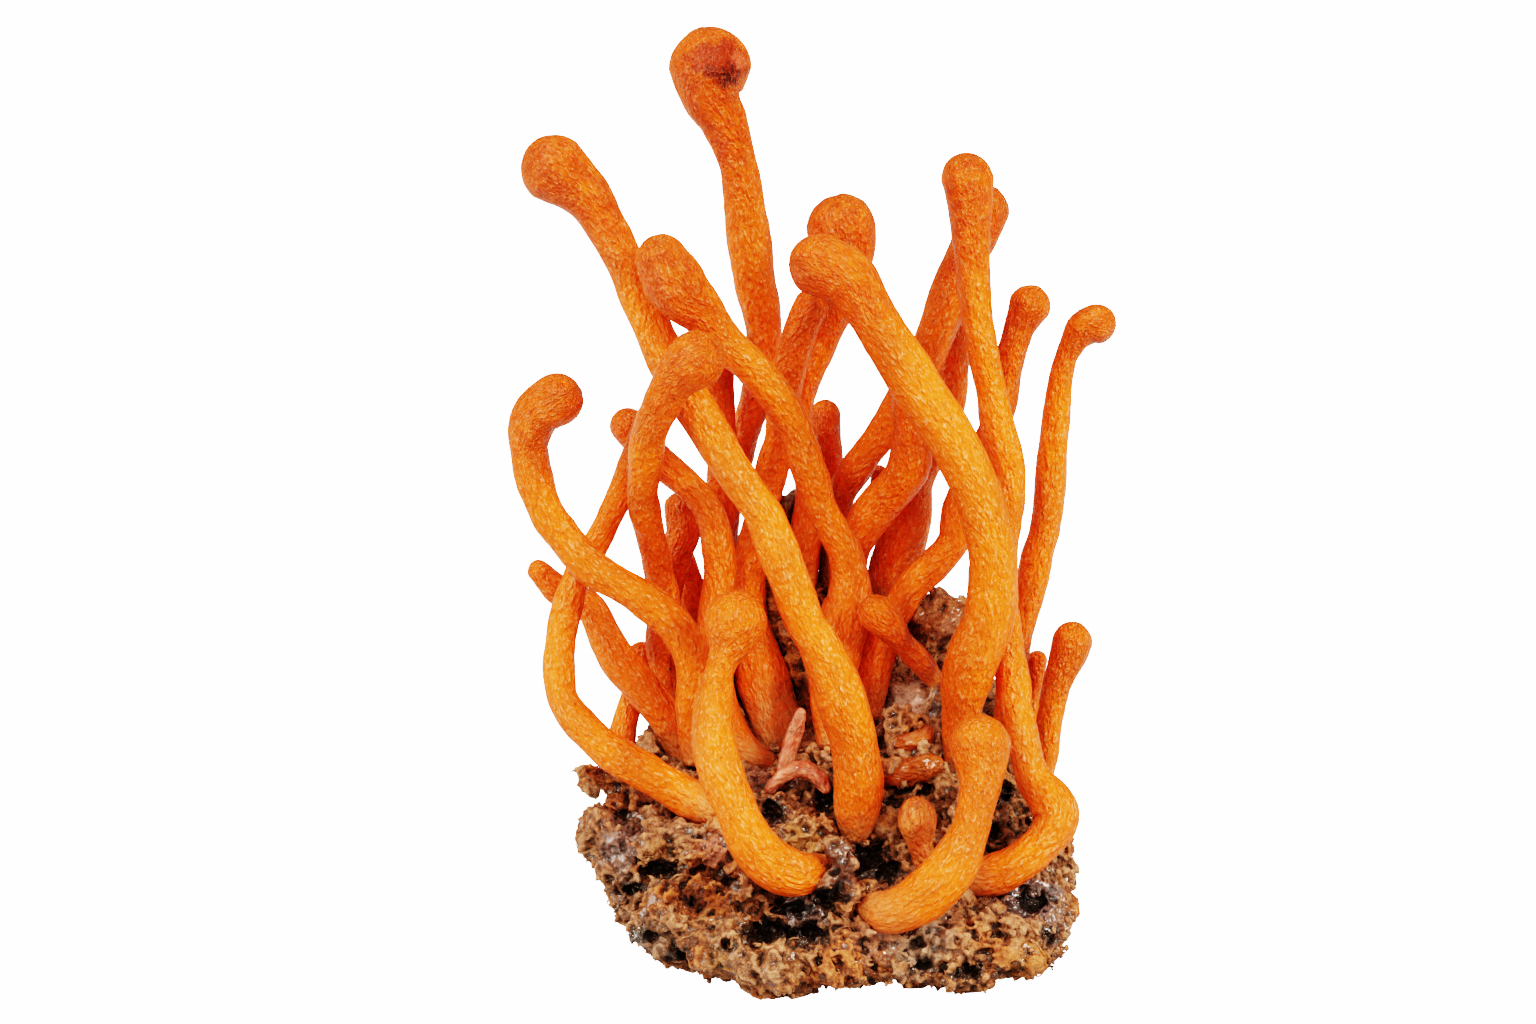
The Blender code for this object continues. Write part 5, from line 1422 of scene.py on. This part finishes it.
def slow_form(spots, outward, spots_of):
    """Slow swellings and dents of the lump, weaker in the smooth patches."""
    push = np.empty(len(spots))
    for i, spot in enumerate(spots / MM):
        p = Vector(spot)
        push[i] = 0.50 * noise.noise(p * 0.36) + 0.34 * noise.noise(p * 0.8)
        push[i] -= 0.30 * abs(noise.noise(p * 1.3))
    push[~away_from_smooth(spots, spots_of)] *= 0.25
    return spots + outward * push[:, None] * MM


def pitted(spots, outward, spots_of, depth):
    """Pits with walls between them, deeper in some regions."""
    push = np.empty(len(spots))
    for i, spot in enumerate(spots / MM):
        p = Vector(spot)
        gaps = noise.voronoi((p + noise.noise_vector(p * 0.6) * 0.5) * 0.72)[0]
        share = min(max((gaps[1] - gaps[0] - 0.12) / 0.40, 0.0), 1.0)
        region = min(max(noise.noise(p * 0.17 + Vector((3.0, 8.0, 2.0))) * 2.4 + 0.55, 0.15), 1.0)
        push[i] = -depth * share * region
    push[~away_from_smooth(spots, spots_of)] *= 0.3
    return spots + outward * push[:, None]


def grained(spots, outward):
    """Fine unevenness of the finished skin."""
    push = np.array([noise.noise(Vector(spot) * 2.2) * 0.07 for spot in spots / MM])
    return spots + outward * (push * MM)[:, None]


def undercut(spots):
    """Draws the lump's lower rim in under it, apart from the round lump that stands out in front."""
    x, y, z = (spots / MM).T
    front = np.clip((-y - 5.0) / 9.0, 0.0, 1.0) * np.clip(1.0 - z / 2.4, 0.0, 1.0) ** 1.3
    front *= 1.0 - np.exp(-(((x + 4.6) / 2.3) ** 2))
    left = np.clip((-x - 7.0) / 9.0, 0.0, 1.0) * np.clip(1.0 - z / 7.0, 0.0, 1.0) ** 1.2
    right = np.clip((x - 10.0) / 8.0, 0.0, 1.0) * np.clip(1.0 - z / 4.5, 0.0, 1.0) ** 1.2
    moved = spots.copy()
    moved[:, 0] += (2.0 * left - 1.7 * right) * MM
    moved[:, 1] += 2.8 * front * MM
    return moved


def fused_share(name, cuts, part, heap, settings, rng, routes, spots_of, solid, rings):
    """One share of the lump: its solid with crumbs, then ridges, all fused, dug and pitted."""
    voxel = settings.back_voxel if name == "substrate_back" else settings.voxel
    core = share_of_solid(name, cuts)
    shape, faces = crumb_shape()
    mine = inside_share(heap[0], cuts, 0.3)
    places, sizes = heap[0][mine], heap[1][mine]
    count = len(places)
    crumbs = join_copies(
        "crumbs", crumb_variants(rng, count, shape), faces, places, random_turns(rng, count), sizes)
    fuse(core, FIRST_VOXEL, crumbs)
    move_corners(core.data, slow_form(corners_of(core.data), normals_of(core.data), spots_of))
    spots = pitted(corners_of(core.data), normals_of(core.data), spots_of, settings.pit_depth)
    move_corners(core.data, undercut(dig_hollows(spots, solid)))
    count = int(settings.worms * part)
    ridges = ridge_coat(core, cuts, count, settings, rng, routes, spots_of, solid, rings)
    fuse(core, voxel, ridges)
    apply_modifier(core, "SMOOTH", factor=SOFTNESS, iterations=settings.soften)
    mesh = core.data
    move_corners(mesh, keep_in_box(grained(corners_of(mesh), normals_of(mesh))))
    mesh.calc_loop_triangles()
    if len(mesh.loop_triangles) > MOST_TRIANGLES:
        apply_modifier(core, "DECIMATE", ratio=MOST_TRIANGLES / len(mesh.loop_triangles))
        mesh = core.data
    rounds = FINE_ROUNDS if voxel < FINE_VOXEL else COARSE_ROUNDS
    wide = relief_of(mesh, rounds, WIDE_RELIEF)
    near = relief_of(mesh, rounds // 5, NEAR_RELIEF)
    inside, deepest = hollow_share(corners_of(mesh), solid)
    # Painted shade: the relief value is lowered by the gap shade, inside the dug hollows and, more weakly,
    # around them, which darkens the colour there.
    height = 0.5 * wide + 0.5 * near - settings.gap_shade - 0.50 * inside
    height -= 0.22 * hollow_share(corners_of(mesh), solid, 2.1, 1.5)[0]
    paint_value(mesh, "relief_shade", np.clip(height, 0.0, 1.0))
    smooth(core)
    return core


def tongue_crumbs(rng, solid):
    """Crumbs of the small tongue that sticks out at the upper left of the lump."""
    depth = depth_of_lump(solid, -15.6, 9.8) + 0.8
    places = []
    sizes = []
    for across, up, radius in TONGUE:
        for _ in range(5):
            spread = rng.normal(0.0, 0.30, size=3)
            places.append(seen(across + spread[0], up + spread[1], depth + spread[2] * 2.5))
            sizes.append(radius * rng.uniform(0.55, 1.0, size=3) * MM)
    return np.array(places), np.array(sizes)


def collar_crumbs(rng, tree):
    """Crumbs heaped round each root, where the medium has grown up against the club."""
    places = []
    sizes = []
    for points in CLUBS.values():
        centre, radius, way, side, other = root_ring(points, tree)
        for _ in range(8 + int(11 * radius / MM)):
            turn = rng.uniform(0.0, 2.0 * math.pi)
            out = side * math.cos(turn) + other * math.sin(turn)
            spot = centre + out * (radius + rng.uniform(0.15, 0.60) * MM)
            spot = spot + way * rng.uniform(-0.1, 1.3) * MM
            found, normal, index, away = tree.find_nearest(Vector(spot))
            if away < 0.9 * MM:
                places.append(spot)
                sizes.append(rng.uniform(0.35, 0.62) * rng.uniform(0.7, 1.2, size=3) * MM)
    return np.array(places), np.array(sizes)


def loose_chips(settings, rng, routes, tree, solid, spots_of, rings):
    """Loose blunt chips that lie over the lump, each with its own tone."""
    places, ways = scatter(rng, int(settings.chips * 2.2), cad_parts["substrate"].data, routes, 0.20)
    front = np.clip(0.75 - places[:, 1] / (26.0 * MM), 0.35, 1.0)
    free = away_from_smooth(places, spots_of) & clear_of_hollows(places, solid, 1.0)
    free &= rng.random(len(places)) < front
    free &= leaves_clubs_bare(places, np.full(len(places), settings.chip_length), rings, 0.3)
    free &= places[:, 2] > 0.6 * MM
    places, ways = places[free][:settings.chips], ways[free][:settings.chips]
    count = len(places)
    places, ways = nearest_on(tree, places, ways)
    nodule = nodule_mask(rng, places, 0.05)
    bent, faces = bent_shreds(rng, nodule)
    long_half = settings.chip_length * rng.lognormal(0.0, 0.38, size=count) * np.where(nodule, 0.6, 1.0)
    thick = rng.uniform(0.10, 0.22, size=count) * MM * np.where(nodule, 1.4, 1.0)
    lift = rng.uniform(-0.10, 0.03, size=count) * MM
    fan = on_lump(solid, *FAN_SPOT) / MM
    turns = frames_along(places, ways, fan, rng)
    long_half = held_to_skin(places, turns, long_half, tree)
    sizes = np.stack([long_half, thick * rng.uniform(1.0, 1.8, size=count), thick], axis=1)
    chips = join_copies("medium_chips", bent, faces, places + ways * lift[:, None], turns, sizes)
    per_corner = bent.shape[1]
    paint_value(chips.data, "tone", np.repeat(rng.random(count), per_corner))
    # Painted light and shade: a chip's relief value rises toward its outward side, so the chip is coloured
    # lighter on top and darker underneath, with some random spread per chip.
    height = 0.62 + 0.10 * bent[:, :, 2] + rng.normal(0.0, 0.09, size=(count, 1))
    paint_value(chips.data, "relief_shade", np.clip(height, 0.30, 0.95).ravel())
    move_corners(chips.data, keep_in_box(corners_of(chips.data)))
    smooth(chips)
    return chips


def loose_grains(settings, rng, routes, tree, solid):
    """Small dry and dark grains that lie on the lump, more of them round the roots."""
    places, ways = scatter(rng, settings.grains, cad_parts["substrate"].data, routes)
    free = clear_of_hollows(places, solid, 1.4)
    places, ways = places[free], ways[free]
    places = nearest_on(tree, places, ways)[0]
    ring_places = []
    ring_ways = []
    for points in CLUBS.values():
        centre, radius, way, side, other = root_ring(points, tree)
        for _ in range(int(20 * radius / MM)):
            turn = rng.uniform(0.0, 2.0 * math.pi)
            out = side * math.cos(turn) + other * math.sin(turn)
            away_from_axis = radius + rng.uniform(-0.05, 0.35) * MM
            spot = centre + out * away_from_axis + way * rng.uniform(-0.2, 1.6) * MM
            found, normal, index, away = tree.find_nearest(Vector(spot))
            if away < 1.3 * MM:
                near = min(1.0, 0.2 * MM / max(away, 1e-9))
                ring_places.append(np.array(found) + (spot - np.array(found)) * near)
                ring_ways.append(out)
    places = np.vstack([places, ring_places])
    ways = np.vstack([ways, ring_ways])
    count = len(places)
    shape, faces = grain_shape()
    sizes = rng.uniform(0.13, 0.36, size=(count, 1)) * MM * rng.uniform(0.5, 1.4, size=(count, 3))
    grains = join_copies(
        "medium_grains", crumb_variants(rng, count, shape), faces, places + ways * 0.05 * MM,
        random_turns(rng, count), sizes)
    tone = rng.random(count)
    per_corner = shape.shape[0]
    paint_value(grains.data, "tone", np.repeat(tone, per_corner))
    paint_value(grains.data, "relief_shade", np.repeat(rng.uniform(0.4, 0.9, size=count), per_corner))
    move_corners(grains.data, keep_in_box(corners_of(grains.data)))
    smooth(grains)
    return grains


def surface_threads(settings, rng, routes, tree):
    """Thin pale threads that follow the lump's surface, thickest at its lower left."""
    places, ways = scatter(rng, settings.threads * 3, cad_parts["substrate"].data, routes)
    left = np.array(seen(-12.0, 3.0, -11.0))
    near_left = np.exp(-((np.linalg.norm(places - left, axis=1) / (7.5 * MM)) ** 2))
    order = np.argsort(-(near_left + rng.random(len(places)) * 0.75))[:settings.threads]
    fan = np.array(seen(-6.5, 7.5, -12.0))
    sides = THREAD_SIDES
    rings = THREAD_RINGS
    corners = []
    faces = []
    for index in order:
        spot = places[index]
        heading = spot - fan + rng.normal(size=3) * 2.2 * MM
        heading /= np.linalg.norm(heading)
        thick = rng.uniform(0.05, 0.13) * MM
        step = rng.uniform(0.22, 0.48) * MM
        first = len(corners)
        for k in range(rings):
            found, normal, face, away = tree.find_nearest(Vector(spot))
            outward = np.array(normal)
            heading = heading - outward * float(heading @ outward)
            heading /= max(np.linalg.norm(heading), 1e-9)
            side = np.cross(heading, outward)
            size = thick * math.sin(math.pi * (k + 0.6) / (rings + 0.2))
            centre = np.array(found) + outward * (0.10 * MM + 0.08 * MM * math.sin(k * 1.3 + index))
            for j in range(sides):
                turn = 2.0 * math.pi * j / sides
                corners.append(centre + (side * math.cos(turn) + outward * math.sin(turn)) * size)
            spot = centre + heading * step + rng.normal(size=3) * 0.06 * MM
        for k in range(rings - 1):
            for j in range(sides):
                m = (j + 1) % sides
                low = first + k * sides
                faces.append((low + j, low + m, low + sides + m, low + sides + j))
        faces.append(tuple(first + j for j in reversed(range(sides))))
        faces.append(tuple(first + (rings - 1) * sides + j for j in range(sides)))
    mesh = bpy.data.meshes.new("medium_threads")
    mesh.from_pydata([tuple(corner) for corner in corners], [], faces)
    thing = placed("medium_threads", mesh)
    edit_all(thing)
    bpy.ops.mesh.normals_make_consistent(inside=False)
    bpy.ops.object.mode_set(mode="OBJECT")
    move_corners(mesh, keep_in_box(corners_of(mesh)))
    paint_value(mesh, "tone", np.full(len(mesh.vertices), 0.5))
    paint_value(mesh, "relief_shade", np.full(len(mesh.vertices), 0.72))
    smooth(thing)
    return thing


def finish_piece(thing, material, slot, *nodes):
    """Gives a piece its material, ties it to the bunch and lets it stand for its CAD nodes."""
    thing.data.materials.clear()
    thing.data.materials.append(material)
    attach(thing, "root")
    if nodes:
        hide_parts(*nodes)


def shared_groups():
    """The effects that several materials use, built once."""
    found = bpy.data.node_groups
    return (
        found.get("fine_grain") or grain_group(),
        found.get("ragged_patch") or patch_group(),
        found.get("packed_bumps") or bumps_group(),
    )


class CORDYCEPS_OT_clubs(bpy.types.Operator):
    """Make the skins of all the clubs and small growths"""

    bl_idname = "cordyceps.clubs"
    bl_label = "Make clubs"

    def execute(self, context):
        settings = context.scene.cordyceps_clubs
        groups = shared_groups()
        orange = flesh_material("orange_flesh", settings, groups)
        pink = flesh_material("pink_flesh", settings, groups, 0.9, 0.6, settings.pink)
        wet = flesh_material("wet_root_flesh", settings, groups, 0.95, 0.8, WET_TINT)
        mottled = flesh_material("mottled_flesh", settings, groups, 0.8, 0.3, MOTTLED_TINT)
        surfaces = {name: pink for name in PINK_GROWTHS} | {name: wet for name in WET_GROWTHS}
        surfaces[MOTTLED_STUB] = mottled
        tree = medium_tree()
        for number, (name, points) in enumerate(CLUBS.items()):
            thing = club_skin(name, points, settings, number, tree)
            slot = "pink_growth" if name in PINK_GROWTHS else "orange_club"
            finish_piece(thing, surfaces.get(name, orange), slot, name)
        return {"FINISHED"}


class CORDYCEPS_OT_medium(bpy.types.Operator):
    """Make the crumbly lump with its loose chips, grains and threads"""

    bl_idname = "cordyceps.medium"
    bl_label = "Make growing medium"

    def execute(self, context):
        settings = context.scene.cordyceps_medium
        groups = shared_groups()
        solid = medium_tree()
        spots_of = {name: on_lump(solid, patch[0], patch[1]) for name, patch in PATCHES.items()}
        spots_of["root_wet"] = seen(0.9, 5.6, -13.8)
        spots_of["golden_net"] = seen(-15.8, 11.6, -1.2)
        rings = rings_in_sight(solid)
        crumbly = medium_material("crumbly_medium", settings, groups, spots_of)
        loose = medium_material("loose_medium", settings, groups, spots_of, loose=True)
        noise.seed_set(SEED)
        rng = np.random.default_rng(SEED)
        routes = club_routes()
        heap = crumb_heap(settings, rng, routes, spots_of, solid, rings)
        corners = []
        faces = []
        for name, cuts, part in SHARES:
            share = fused_share(name, cuts, part, heap, settings, rng, routes, spots_of, solid, rings)
            finish_piece(share, crumbly, "growing_medium", "substrate")
            first = len(corners)
            corners.extend(corner.co.copy() for corner in share.data.vertices)
            faces.extend(tuple(first + index for index in face.vertices) for face in share.data.polygons)
        tree = BVHTree.FromPolygons(corners, faces)
        chips = loose_chips(settings, rng, routes, tree, solid, spots_of, rings)
        finish_piece(chips, loose, "growing_medium")
        finish_piece(loose_grains(settings, rng, routes, tree, solid), loose, "growing_medium")
        finish_piece(surface_threads(settings, rng, routes, tree), loose, "growing_medium")
        return {"FINISHED"}


def soft_box(name, place, width, height, watts):
    """Area light at a place, turned to the bunch."""
    bpy.ops.object.select_all(action="DESELECT")
    bpy.ops.object.light_add(type="AREA", location=place)
    lamp = bpy.context.active_object
    lamp.name = name
    lamp.data.shape = "RECTANGLE"
    lamp.data.size = width
    lamp.data.size_y = height
    lamp.data.energy = watts
    lamp.data.color = WARM_WHITE
    lamp.rotation_euler = (Vector(LIGHT_AIM) - Vector(place)).to_track_quat("-Z", "Y").to_euler()


class CORDYCEPS_OT_stage(bpy.types.Operator):
    """Make the floor, the soft lights and the camera"""

    bl_idname = "cordyceps.stage"
    bl_label = "Make stage"

    def execute(self, context):
        settings = context.scene.cordyceps_stage
        scene = context.scene
        bpy.ops.object.select_all(action="DESELECT")
        bpy.ops.mesh.primitive_plane_add(size=6.0)
        floor = context.active_object
        floor.name = "floor"
        floor.data.materials.append(floor_material(settings))
        for name, place, width, height, setting, share in SOFT_BOXES:
            soft_box(name, place, width, height, getattr(settings, setting) * share)
        world = bpy.data.worlds.new("studio")
        scene.world = world
        world.use_nodes = True
        set_inputs(world.node_tree.nodes["Background"], {"Color": WORLD_COLOUR, "Strength": WORLD_STRENGTH})
        bpy.ops.object.camera_add(location=EYE_PLACE, rotation=(math.pi / 2.0 - ELEVATION, 0.0, 0.0))
        camera = context.active_object
        camera.name = "photo_camera"
        camera.data.sensor_width = SENSOR_MM
        view_width = IMAGE_WIDTH / PIXELS_PER_MM
        camera.data.lens = SENSOR_MM * VIEW_DISTANCE / view_width
        camera.data.clip_start = 0.02
        camera.data.clip_end = 20.0
        scene.camera = camera
        scene.view_settings.view_transform = "Filmic"
        scene.view_settings.look = "Very High Contrast"
        return {"FINISHED"}


class CORDYCEPS_PT_panel(bpy.types.Panel):
    """Lists the bunch's steps and sizes"""

    bl_idname = "CORDYCEPS_PT_panel"
    bl_label = "Cordyceps bunch"
    bl_space_type = "VIEW_3D"
    bl_region_type = "UI"
    bl_category = "Cordyceps"

    def draw(self, context):
        layout = self.layout
        for title, group, operator in SECTIONS:
            box = layout.box()
            box.label(text=title)
            settings = getattr(context.scene, group)
            for name in settings.__annotations__:
                box.prop(settings, name)
            box.operator(operator)


SECTIONS = (
    ("Clubs", "cordyceps_clubs", "cordyceps.clubs"),
    ("Growing medium", "cordyceps_medium", "cordyceps.medium"),
    ("Stage", "cordyceps_stage", "cordyceps.stage"),
)
SETTINGS = {
    "cordyceps_clubs": ClubSettings,
    "cordyceps_medium": MediumSettings,
    "cordyceps_stage": StageSettings,
}
CLASSES = (
    *SETTINGS.values(), CORDYCEPS_OT_clubs, CORDYCEPS_OT_medium, CORDYCEPS_OT_stage, CORDYCEPS_PT_panel,
)


def register():
    for kind in CLASSES:
        bpy.utils.register_class(kind)
    for name, kind in SETTINGS.items():
        setattr(bpy.types.Scene, name, bpy.props.PointerProperty(type=kind))


def unregister():
    for name in SETTINGS:
        delattr(bpy.types.Scene, name)
    for kind in reversed(CLASSES):
        bpy.utils.unregister_class(kind)


def main():
    register()
    bpy.ops.cordyceps.clubs()
    bpy.ops.cordyceps.medium()
    bpy.ops.cordyceps.stage()


if __name__ == "__main__":
    main()
